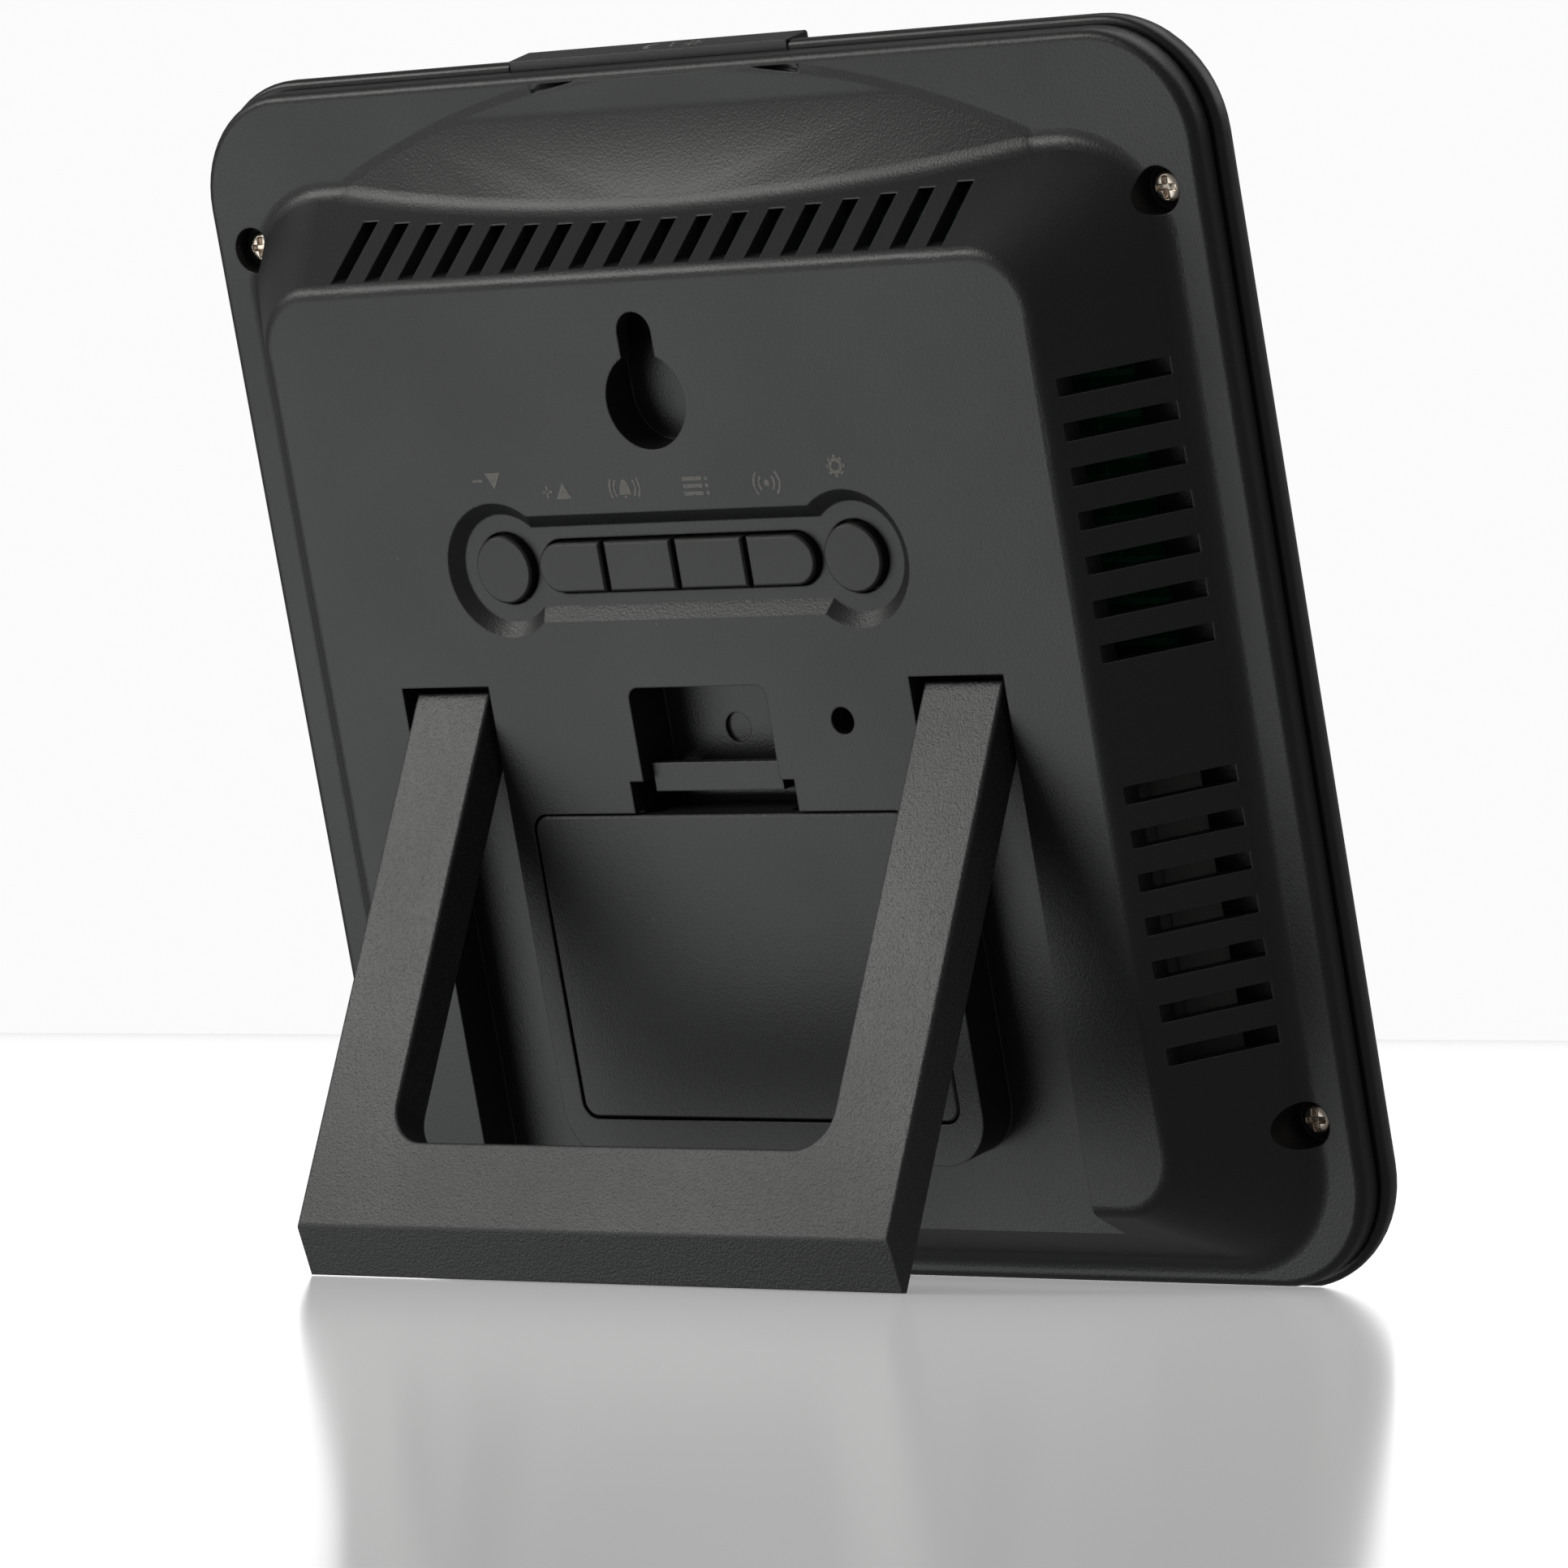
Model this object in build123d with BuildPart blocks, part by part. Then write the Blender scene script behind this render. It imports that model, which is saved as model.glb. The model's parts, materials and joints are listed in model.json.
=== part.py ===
from build123d import *
from math import acos, atan2, cos, degrees, hypot, radians, sin
import os

CUT = Mode.SUBTRACT

# A desk clock and weather station: a square case that leans back on a U-shaped stand, in millimetres.
# The case is drawn in its own leaning frame, called the panel: x runs to the right as the back is seen,
# y up the back from the rear cover's bottom edge, and z out of the back from the rear cover's flat rim.

# ---- rear cover
cover_width = 152.5
cover_height = 153.4
cover_corner = 14.0
cover_front = -3.2          # front edge of its side wall
rim_round = 1.2
wall = 2.0
rim_wall = 1.8

# ---- raised back: four slopes up to a flat plateau
back_rise = 13.8
side_rim = 5.75             # flat rim beside the slopes
bottom_rim = 3.2
top_rim = 12.8
side_slope = 11.65          # run of each slope
bottom_slope = 10.1
top_slope = 10.1
slope_corner = 13.0
back_corner = 8.0
soft_edge = 2.2             # round along the plateau's edge
slope_foot = 3.0            # hollow round at the foot of the slopes
brow_rise = 4.9             # the top rim bulges up to this where it meets the top slope
brow_reach = 64.0
brow_round = 4.0            # hollow round where it meets the top slope
brow_low = 18.0             # its lower end, inside the slope, below the case's top edge
brow_length = 28.0
brow_overlap = 3.5          # its fall runs this far beyond the rim
brow_slice = 18.0           # thickness kept of the cylinder

# ---- vents
vent_width = 2.4
vent_pitch = 5.41
vent_count = 18
vent_top_ends = 4.5         # depth at which the outermost top vents end
vent_top_middle = 6.8
vent_start = 12.8
louvre_height = 2.2
louvre_pitch = 5.33
louvre_count = 7
louvre_start = 12.4
louvre_end = 1.8
louvre_drop = 15.8          # from the plateau's top edge to the upper group
louvre_lift = 18.1          # from the plateau's bottom edge to the lower group
shelf_run = 6.0             # ledge behind the outer ends of the louvres
shelf_depth = 0.6
shelf_thickness = 0.9
shelf_over = 1.5

# ---- case screws
screw_side = 6.25
screw_top = 19.4
screw_bottom = 20.8
screw_pocket = 2.9
pocket_wall = 1.2
screw_head = 2.1
screw_shank = 1.2
screw_sink = 1.4            # head below the rim
screw_head_height = 1.3
screw_head_round = 0.6
screw_cross = 1.2           # half length of each arm of the cross
screw_cross_half = 0.3
screw_cross_floor = 0.5
screw_length = 4.0
boss_radius = 3.2
snug = 0.05                 # running and seating clearance
overrun = 1.0               # cuts start this far outside the solid
through = 30.0              # long enough for a cut to pass right through
tiny = 0.01

# ---- keyhole for a wall screw
keyhole_drop = 15.7         # its round mouth below the plateau's top edge
keyhole_radius = 6.0
keyhole_slot = 2.6
keyhole_rise = 8.4
keyhole_depth = 5.3
keyhole_lip = 2.0

# ---- keys
keys_drop = 36.0
key_spread = 27.0
key_recess_end = 6.8
key_recess_half = 5.0
key_recess_depth = 1.4
key_recess_slope = 1.7
round_key = 4.25
key_bar_half = 21.6
key_bar_height = 6.9
key_split = 11.0
key_gap = 0.35
key_stand = 1.2             # keys above the recess floor
key_travel = 0.8
key_flange = 0.8
key_flange_hold = 0.5       # flange inside the cap
key_edge = 0.25
key_wall = 2.0
key_post = 2.6
key_post_inset = 3.0        # from the key board's ends
key_post_spread = 6.5       # from the keys' line
key_screw = 1.0
key_screw_head = 2.0
key_screw_head_height = 1.2
key_screw_length = 4.0      # above the key board
key_screw_hole = 4.2

# ---- stand and its recess
stand_top = 79.9
recess_half = 46.5
block_half = 32.5
block_bottom = 18.93
block_corner = 6.5
stand_under = 0.5            # room behind the folded stand
stand_gap = 1.1
stand_thickness = 5.5
stand_length = 69.5         # front face, from the arm's top to the foot's front edge
crossbar = 10.9
window_corner = 5.0
foot_bevel = 5.0
foot_bevel_depth = 4.8
stand_angle = 34.9          # from folded flat to open
pivot_inset = 3.6           # pin axis below the front face
pivot_drop = 1.5            # pin axis below the arm's top
pivot_clear = 4.2           # pin axis below the recess's top wall
pin_radius = 1.3
pin_length = 1.7
pin_hole_end = 1.5          # its hole runs this far past the wall
heel_round = 1.0
stand_edge = 0.4

# ---- battery bay, its door and three AAA cells
door_half = 29.0
door_bottom = 24.5
door_beyond = 2.85          # its edges beyond the cells
door_thickness = 1.8
door_gap = 0.3
door_corner = 2.0
door_ledge = 1.4
door_edge = 0.25
cell_radius = 5.25
cell_length = 44.5
cell_between = 0.75         # between neighbouring cells
cell_clear = 0.2
cell_button = 1.9
cell_button_height = 1.0
spring_rings = 4
spring_inner = 1.6
spring_growth = 0.55
spring_wire = 0.6
spring_start = 0.35
spring_room = 1.2
contact_half = 4.0
contact_height = 8.0
contact_thickness = 0.4
contact_lift = 0.3
contact_gap = 0.05
bay_wall = 1.7
bay_base = 1.0              # wall under the cells
slot_half = 12.7
slot_height = 4.3
slot_depth = 9.3
latch_half = 9.9
latch_thickness = 1.2
latch_lip = 3.6
latch_gap = 0.4             # between the latch and the slot's upper wall
latch_sink = 1.4            # its lip below the plateau
latch_bend_low = 1.0
latch_bend_gap = 0.6        # between its bend and the slot's floor
hook_half = 3.0
hook_reach = 1.3
hook_thickness = 1.2
hook_hold = 3.0
pocket_half = 10.6
pocket_height = 11.8
pocket_corner = 1.5
pocket_depth = 6.9
dimple_radius = 1.9
dimple_depth = 0.5
dimple_drop = 1.0

# ---- power socket
socket_x = 21.6
socket_lift = 11.46          # its middle above the battery door
socket_radius = 1.7
socket_body = 7.5
socket_bore = 7.0           # depth of the body's own bore
socket_margin = 1.2

# ---- front bezel and display
front_face = -9.0
bezel_over = 1.1            # beyond the rear cover all round
part_gap = 0.3
front_round = 4.5
rear_round = 0.8
bezel_front_wall = 2.2
lip_thickness = 1.2
lip_height = 1.5
lip_gap = 0.1
lens_margin = 7.0
lens_thickness = 1.2
lens_corner = 8.0
lens_gap = 0.15
display_side = 9.2          # margins from the lens to the display glass
display_top = 13.5
display_bottom = 18.0
display_border = 3.0
display_thickness = 2.4
guide_thickness = 2.0
frame_wall = 4.0
frame_back = 0.3
fit_gap = 0.2
lamp_room = 3.0
lamp_margin = 6.0
lamp_half = 2.5
lamp_strip = 0.8
lamp_thickness = 1.4
lamp_lift = 0.3

# ---- boards and what they carry
board_thickness = 1.2
board_above_bay = 5.2
board_top_gap = 0.3
board_screw_x = 50.0
board_corner = 7.0
board_screw_head = 1.7
board_screw = 0.85
key_board_half = 38.0
key_board_low = 9.5         # its lower and upper edges from the keys' line
key_board_high = 9.5
switch_side = 6.0
switch_height = 3.4
stem_radius = 1.75
stem_height = 0.9
bar_stem_half = 1.2
bar_stem_inset = 0.4
board_screw_lift = 4.0      # lower screws above the board's lower edge
board_screw_hole = 4.0
board_screw_length = 4.5
board_screw_head_height = 1.2
chip_x = 26.0
chip_half = 7.0
chip_thickness = 1.2
receiver_x = -30.0
receiver_half_width = 15.0
receiver_half_height = 6.0
receiver_thickness = 1.0
can_x = -34.0
can_half_width = 6.0
can_half_height = 4.0
can_thickness = 1.6
wire_radius = 0.5
wire_start = -18.0
wire_length = 34.0
wire_rise = 3.0
beeper_x = 44.0
beeper_drop = 2.0
beeper_radius = 6.0
beeper_height = 5.0
beeper_hole = 1.0
sensor_half = 2.5
sensor_thickness = 1.6
sensor_inset = 8.0
header_x = -22.0
header_half = 9.0
header_low = 4.0            # its lower and upper faces below the key board's upper edge
header_high = 1.5

# ---- snooze bar on the top edge
bar_left = -26.2
bar_right = 16.9
bar_rise = 1.3
bar_lift = 0.35             # its front edge stands this much above its rear edge
bar_depth = 4.4
bar_gap = 0.2
bar_travel = 0.6
bar_skirt = 3.0
bar_under = 2.0             # room under its skirt
bar_flange = 1.5
bar_flange_thickness = 0.8
bar_edge = 0.3

# ---- how it stands
foot_flat = 0.08            # depth of the small flats where it touches the floor

# ---- what follows from these sizes
slope_width = cover_width - 2 * side_rim
slope_low = bottom_rim
slope_high = cover_height - top_rim
back_low = slope_low + bottom_slope
back_high = slope_high - top_slope
recess_floor = back_rise - stand_thickness - stand_under
pivot_height = stand_top - pivot_clear
pivot_depth = back_rise - pivot_inset
bezel_rear = cover_front - part_gap
bezel_inside = front_face + bezel_front_wall

# The case and the stand's foot both touch the floor, so the open stand sets the lean of the panel.
foot_run = stand_length + foot_bevel - pivot_drop
foot_in = pivot_inset - foot_bevel_depth
foot_height = pivot_height - foot_run * cos(radians(stand_angle)) + foot_in * sin(radians(stand_angle))
foot_depth = pivot_depth + foot_run * sin(radians(stand_angle)) + foot_in * cos(radians(stand_angle))
reach = hypot(foot_height - rim_round, foot_depth + rim_round)
lean = degrees(acos(-rim_round / reach) - atan2(foot_depth + rim_round, foot_height - rim_round))
up = cos(radians(lean))
back = sin(radians(lean))

# The origin is on the floor, under the middle of the object's box.
open_up = cos(radians(stand_angle))
open_back = sin(radians(stand_angle))
foot_edge_height = foot_height + foot_bevel * open_up + foot_bevel_depth * open_back
foot_edge_depth = foot_depth - foot_bevel * open_back + foot_bevel_depth * open_up
rear_most = foot_edge_height * back + foot_edge_depth * up
front_most = (front_round - bezel_over) * back + (front_face + front_round) * up - front_round
floor_drop = rim_round * (up + back - 1) + foot_flat
panel = Plane(origin=(0, -(rear_most + front_most) / 2, -floor_drop), x_dir=(-1, 0, 0), z_dir=(0, up, -back))


def at(depth):
    """Plane parallel to the back, at a depth from the rim."""
    return panel.offset(depth)


def across(height):
    """Plane square to the back at a height: x to the right, y out of the back."""
    return Plane(origin=panel.from_local_coords((0, height, 0)), x_dir=panel.x_dir, z_dir=-panel.y_dir)


def beside(x):
    """Plane square to the back at a distance from the middle: x up the back, y out of it."""
    return Plane(origin=panel.from_local_coords((x, 0, 0)), x_dir=panel.y_dir, z_dir=panel.x_dir)


def block(half_width, low, high, depth, height, mode=Mode.ADD, x=0.0):
    """Box on the panel: its half width, its lower and upper edges, where it starts and how thick it is."""
    with BuildSketch(at(depth)) as outline:
        with Locations((x, (low + high) / 2)):
            Rectangle(2 * half_width, high - low)
    extrude(outline.sketch, amount=height, mode=mode)


def post(x, y, radius, depth, height, mode=Mode.ADD):
    """Round post or hole square to the panel."""
    with BuildSketch(at(depth)) as outline:
        with Locations((x, y)):
            Circle(radius)
    extrude(outline.sketch, amount=height, mode=mode)


def plate(width, low, high, corner, depth, height, mode=Mode.ADD):
    """Plate with round corners, centred across the panel."""
    with BuildSketch(at(depth)) as outline:
        with Locations((0, (low + high) / 2)):
            RectangleRounded(width, high - low, corner)
    extrude(outline.sketch, amount=height, mode=mode)


def slope_section(depth, inset):
    """Sketch of the raised back's section at a depth, inset by a wall measured square to the slopes."""
    part_way = depth / back_rise
    width = slope_width - 2 * side_slope * part_way - 2 * inset * hypot(1, side_slope / back_rise)
    high = slope_high - top_slope * part_way - inset * hypot(1, top_slope / back_rise)
    low = slope_low + bottom_slope * part_way + inset * hypot(1, bottom_slope / back_rise)
    corner = slope_corner + (back_corner - slope_corner) * part_way - inset
    with BuildSketch(at(depth)) as section:
        with Locations((0, (low + high) / 2)):
            RectangleRounded(width, high - low, corner)
    return section.sketch.face()


def write(builder, name):
    """Label a finished piece and write it."""
    builder.part.label = name
    export_step(builder.part, f"parts/{name}.step")


os.makedirs("parts", exist_ok=True)

# Places that several pieces share
screw_x = cover_width / 2 - screw_side
case_screws_at = [(x, y) for x in (-screw_x, screw_x) for y in (screw_bottom, cover_height - screw_top)]
keys_height = back_high - keys_drop
key_floor = back_rise - key_recess_depth
key_under = key_floor - key_wall
keyhole_height = back_high - keyhole_drop
cell_pitch = 2 * cell_radius + cell_between
door_top = door_bottom + 2 * (cell_pitch + cell_radius + door_beyond)
door_under = back_rise - door_thickness
bay_half = door_half - door_ledge + door_gap
bay_low = door_bottom - door_gap + door_ledge
bay_high = door_top + door_gap - door_ledge
board_low = bay_high + bay_wall + board_above_bay
socket_height = door_top + socket_lift
cell_depth = door_under - cell_clear - cell_radius
bay_floor = cell_depth - cell_radius - cell_clear
slot_high = door_top + slot_height
slot_floor = back_rise - slot_depth
pocket_floor = back_rise - pocket_depth
key_bottom = key_under - snug - key_flange
switch_top = key_bottom - key_travel - fit_gap
key_board_top = switch_top - stem_height - switch_height
round_hole = round_key + key_gap
post_x = key_board_half - key_post_inset
louvre_group = louvre_height + (louvre_count - 1) * louvre_pitch
key_posts_at = [(x, keys_height + y) for x in (-post_x, post_x) for y in (-key_post_spread, key_post_spread)]


# ---- the space inside the rear cover, with the walls of its pockets left standing
with BuildPart() as inside:
    loft([slope_section(-rim_wall, wall), slope_section(back_rise - wall, wall)])
    plate(
        cover_width - 2 * wall, wall, cover_height - wall, cover_corner - wall, cover_front - wall,
        wall - cover_front - rim_wall,
    )
    with BuildSketch(at(recess_floor - wall)) as recess_walls:
        with Locations((0, stand_top / 2)):
            Rectangle(2 * (recess_half + wall), stand_top + 2 * wall)
        with Locations((0, block_bottom + wall + cover_height / 2)):
            RectangleRounded(2 * (block_half - wall), cover_height, block_corner - wall, mode=Mode.SUBTRACT)
    extrude(recess_walls.sketch, amount=back_rise, mode=Mode.SUBTRACT)
    block(bay_half + bay_wall, bay_low - bay_wall, bay_high + bay_wall, bay_floor - bay_base, through, CUT)
    block(slot_half + bay_wall, bay_high, slot_high + bay_wall, slot_floor - bay_wall, through, CUT)
    pocket_high = slot_high + pocket_height
    block(pocket_half + bay_wall, door_top, pocket_high + bay_wall, pocket_floor - bay_wall, through, CUT)
    key_room = key_recess_end + wall
    block(key_spread + key_room, keys_height - key_room, keys_height + key_room, key_under, through, CUT)
    hole_room = keyhole_radius + wall
    keyhole_low = keyhole_height - hole_room
    keyhole_high = keyhole_height + keyhole_rise + hole_room
    block(hole_room, keyhole_low, keyhole_high, back_rise - keyhole_depth - keyhole_lip, through, CUT)
    for x, y in key_posts_at:
        post(x, y, key_post, key_board_top, through, CUT)
    for x, y in case_screws_at:
        post(x, y, screw_pocket + pocket_wall, cover_front, through, CUT)
    for mirror_side in (-1, 1):
        shelf_x = mirror_side * (slope_width / 2 - side_slope * louvre_end / back_rise)
        for low in (back_low + louvre_lift, back_high - louvre_drop - louvre_group):
            high = low + louvre_group + shelf_over
            shelf_low = shelf_depth - shelf_thickness
            block(shelf_run, low - shelf_over, high, shelf_low, shelf_thickness, CUT, x=shelf_x)

# ---- the bulge above the top slope: part of a large cylinder that dips into the rim at the top edge
brow_run = top_rim + brow_overlap
brow_radius = brow_reach**2 / (2 * brow_rise) + brow_rise / 2
brow_fall = atan2(brow_rise, brow_run)
with BuildPart() as brow:
    brow_top = brow_rise * (cover_height - back_high) / brow_run
    brow_plane = Plane(
        origin=panel.from_local_coords((0, back_high, brow_top)),
        x_dir=panel.x_dir,
        z_dir=panel.y_dir * -cos(brow_fall) + panel.z_dir * sin(brow_fall),
    )
    with BuildSketch(brow_plane):
        with Locations((0, -brow_radius)):
            Circle(brow_radius)
        Rectangle(cover_width, brow_slice, mode=Mode.INTERSECT)
    extrude(amount=-brow_length)
    block(cover_width, 0, cover_height - brow_low, -through, 2 * through, CUT)
    brow_width = cover_width - 2 * rim_round
    brow_corner = cover_corner - rim_round
    plate(brow_width, rim_round, cover_height - rim_round, brow_corner, -overrun, through, Mode.INTERSECT)

outward = Axis(panel.origin, panel.z_dir)
upward = Axis(panel.origin, panel.y_dir)


def flat_rim(builder):
    """The flat face of the rim, with its outer edge and the foot of the slopes."""
    facing = builder.faces().filter_by(outward)
    return [face for face in facing if abs(panel.to_local_coords(face.center()).Z) < tiny][0]


def vent_end(x):
    """Height at which a top vent ends: the row follows the bulge of the rim."""
    share = 2 * x / (vent_pitch * (vent_count - 1))
    depth = vent_top_middle - (vent_top_middle - vent_top_ends) * share**2
    return slope_high - top_slope * depth / back_rise


def key_outline(end_radius, half_height):
    """Face of the keys' recess: a bar with a larger round at each end."""
    with BuildSketch(at(key_floor)) as outline:
        with Locations((-key_spread, keys_height), (key_spread, keys_height)):
            Circle(end_radius)
        with Locations((0, keys_height)):
            Rectangle(2 * key_spread, 2 * half_height)
    return outline.sketch.face()


# ---- recess around the keys, with sloped sides
with BuildPart() as key_recess:
    bottom_outline = key_outline(key_recess_end, key_recess_half)
    top_outline = key_outline(key_recess_end + key_recess_slope, key_recess_half + key_recess_slope)
    loft([bottom_outline, top_outline.moved(Location(panel.z_dir * key_recess_depth))])

# ---- rear cover
with BuildPart() as rear_cover:
    loft([slope_section(0, 0), slope_section(back_rise, 0)])
    fillet(rear_cover.faces().sort_by(outward)[-1].edges(), soft_edge)
    plate(cover_width, 0, cover_height, cover_corner, cover_front, -cover_front)
    fillet(flat_rim(rear_cover).inner_wires()[0].edges(), slope_foot)
    fillet(flat_rim(rear_cover).outer_wire().edges(), rim_round)
    add(brow.part)
    brow_face = rear_cover.faces().filter_by(GeomType.CYLINDER).sort_by(lambda face: face.radius)[-1]
    fillet(brow_face.edges().filter_by(GeomType.BSPLINE), brow_round)
    add(inside.part, mode=Mode.SUBTRACT)

    # recess for the folded stand, around the battery block
    with BuildSketch(at(recess_floor)) as stand_recess:
        with Locations((0, (stand_top - overrun) / 2)):
            Rectangle(2 * recess_half, stand_top + overrun)
        with Locations((0, block_bottom + cover_height / 2)):
            RectangleRounded(2 * block_half, cover_height, block_corner, mode=Mode.SUBTRACT)
    extrude(stand_recess.sketch, amount=through, mode=Mode.SUBTRACT)
    pin_hole = pin_length + pin_hole_end
    for start in (-recess_half - pin_hole + overrun, recess_half - overrun):
        with BuildSketch(beside(start)) as pin_holes:
            with Locations((pivot_height, pivot_depth)):
                Circle(pin_radius + snug)
        extrude(pin_holes.sketch, amount=pin_hole, mode=Mode.SUBTRACT)

    # battery bay, its door's seat, the latch's slot and the finger pocket
    seat_low = door_bottom - door_gap
    seat_high = door_top + door_gap
    seat_corner = door_corner + door_gap
    plate(2 * (door_half + door_gap), seat_low, seat_high, seat_corner, door_under, through, CUT)
    block(bay_half, bay_low, bay_high, bay_floor, through, CUT)
    block(slot_half, bay_high - overrun, slot_high, slot_floor, through, CUT)
    pocket_low = slot_high - slot_height / 2
    plate(2 * pocket_half, pocket_low, pocket_high, pocket_corner, pocket_floor, through, CUT)
    dimple_height = slot_high + pocket_height / 2 - dimple_drop
    post(0, dimple_height, dimple_radius, pocket_floor - dimple_depth, overrun, CUT)

    # keys, keyhole and power socket
    add(key_recess.part, mode=Mode.SUBTRACT)
    for x in (-key_spread, key_spread):
        post(x, keys_height, round_hole, key_board_top, through, CUT)
    bar_low = keys_height - key_bar_height / 2
    bar_high = keys_height + key_bar_height / 2
    plate(2 * key_bar_half, bar_low, bar_high, key_bar_height / 2 - tiny, key_board_top, through, CUT)
    keyhole_floor = back_rise - keyhole_depth
    post(0, keyhole_height, keyhole_radius, keyhole_floor, through, CUT)
    block(keyhole_slot, keyhole_height, keyhole_height + keyhole_rise, keyhole_floor, through, CUT)
    post(0, keyhole_height + keyhole_rise, keyhole_slot, keyhole_floor, through, CUT)
    with BuildSketch(at(keyhole_floor)) as head_room:
        with Locations((0, keyhole_height + keyhole_rise)):
            Circle(keyhole_radius)
        with Locations((0, keyhole_height + keyhole_rise / 2)):
            Rectangle(2 * keyhole_radius, keyhole_rise)
    extrude(head_room.sketch, amount=keyhole_depth - keyhole_lip, mode=Mode.SUBTRACT)
    post(socket_x, socket_height, socket_radius, recess_floor, through, CUT)

    # vents through the slopes
    for index in range(vent_count):
        x = (index - (vent_count - 1) / 2) * vent_pitch
        start = slope_high - top_slope * vent_start / back_rise
        block(vent_width / 2, start, vent_end(x), rim_wall, through, CUT, x=x)
    louvre_half = side_slope * (louvre_start - louvre_end) / back_rise / 2
    for side in (-1, 1):
        outer = slope_width / 2 - side_slope * louvre_end / back_rise
        middle = side * (outer - louvre_half)
        for index in range(louvre_count):
            first = back_low + louvre_lift + index * louvre_pitch
            last = back_high - louvre_drop - louvre_height - index * louvre_pitch
            for low in (first, last):
                block(louvre_half, low, low + louvre_height, shelf_depth, through, CUT, x=middle)

    # case screws
    for x, y in case_screws_at:
        post(x, y, screw_pocket, -screw_sink - screw_head_height, through, CUT)
        post(x, y, screw_shank + snug, cover_front - overrun, through, CUT)

    for x, y in key_posts_at:
        post(x, y, key_screw + snug, key_board_top, key_screw_hole, CUT)

    # notches for the battery door's hooks
    for x in (-door_half / 2, door_half / 2):
        notch_low = door_bottom - hook_reach - door_gap
        notch_floor = door_under - hook_thickness - door_gap
        block(hook_half + door_gap, notch_low, bay_low + overrun, notch_floor, door_thickness, CUT, x=x)

    # small flat where it stands
    split(bisect_by=Plane.XY, keep=Keep.TOP)
write(rear_cover, "rear_cover")

# ---- front bezel: a frame with a rounded outer edge, a lip that centres it in the rear cover, and bosses
bezel_width = cover_width + 2 * bezel_over
bezel_corner = cover_corner + bezel_over
lens_width = bezel_width - 2 * lens_margin
lens_low = lens_margin - bezel_over
lens_high = cover_height + bezel_over - lens_margin
glass_width = lens_width - 2 * display_side
glass_low = lens_low + display_bottom
glass_high = lens_high - display_top
glass_back = bezel_inside + display_thickness
guide_back = glass_back + guide_thickness
frame_end = guide_back + frame_back
frame_out = frame_wall + fit_gap
frame_half = glass_width / 2 + frame_out
frame_low = glass_low - frame_out
frame_high = glass_high + frame_out
bar_middle = (bar_left + bar_right) / 2
bar_half = (bar_right - bar_left) / 2
bar_front = bezel_rear - bar_depth
bar_stop = cover_height + bezel_over - wall
with BuildPart() as front_bezel:
    bezel_depth = bezel_rear - front_face
    plate(bezel_width, -bezel_over, cover_height + bezel_over, bezel_corner, front_face, bezel_depth)
    fillet(front_bezel.faces().sort_by(outward)[0].edges(), front_round)
    fillet(front_bezel.faces().sort_by(outward)[-1].edges(), rear_round)
    room_width = bezel_width - 2 * wall
    room_low = wall - bezel_over
    plate(room_width, room_low, cover_height - room_low, bezel_corner - wall, bezel_inside, through, CUT)
    lip_inset = wall + lip_gap
    lip_width = cover_width - 2 * lip_inset
    lip_rise = bezel_rear + lip_height - bezel_inside
    plate(lip_width, lip_inset, cover_height - lip_inset, cover_corner - lip_inset, bezel_inside, lip_rise)
    inset = lip_inset + lip_thickness
    inner_width = cover_width - 2 * inset
    plate(inner_width, inset, cover_height - inset, cover_corner - inset, bezel_inside, through, CUT)
    for x, y in case_screws_at:
        post(x, y, screw_pocket + pocket_wall + lip_gap, bezel_inside, through, CUT)
        post(x, y, boss_radius, bezel_inside, cover_front - snug - bezel_inside)
        post(x, y, screw_shank, bezel_inside, through, CUT)
    seat_width = lens_width + 2 * lens_gap
    cut_front = front_face - overrun
    seat_cut = lens_thickness + overrun
    plate(seat_width, lens_low - lens_gap, lens_high + lens_gap, lens_corner, cut_front, seat_cut, CUT)
    opening_half = glass_width / 2 - display_border
    opening_low = glass_low + display_border
    block(opening_half, opening_low, glass_high - display_border, cut_front, through, CUT)
    bar_room = bar_half + bar_gap
    bar_base = cover_height - bar_skirt - bar_under
    bar_cut = bar_front - bar_gap
    block(bar_room, bar_base, cover_height + through, bar_cut, through, CUT, x=bar_middle)
    block(bar_room + bar_flange, bar_base, bar_stop, bar_cut, through, CUT, x=bar_middle)
    split(bisect_by=Plane.XY, keep=Keep.TOP)
write(front_bezel, "front_bezel")

# ---- display: front lens, glass, light guide with its lamps, and the frame that holds them in the bezel
with BuildPart() as display_lens:
    plate(lens_width, lens_low, lens_high, lens_corner - lens_gap, front_face, lens_thickness)
write(display_lens, "display_lens")

with BuildPart() as display_glass:
    block(glass_width / 2, glass_low, glass_high, bezel_inside, display_thickness)
write(display_glass, "display_glass")

with BuildPart() as light_guide:
    block(glass_width / 2, glass_low + lamp_room, glass_high, glass_back, guide_thickness)
write(light_guide, "light_guide")

with BuildPart() as backlight_lamps:
    strip_low = glass_low + fit_gap
    strip_high = strip_low + lamp_strip
    block(glass_width / 2 - lamp_margin, strip_low, strip_high, glass_back, guide_thickness)
    for x in (-glass_width / 4, 0, glass_width / 4):
        block(lamp_half, strip_high, glass_low + lamp_room, glass_back + lamp_lift, lamp_thickness, x=x)
write(backlight_lamps, "backlight_lamps")

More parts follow.
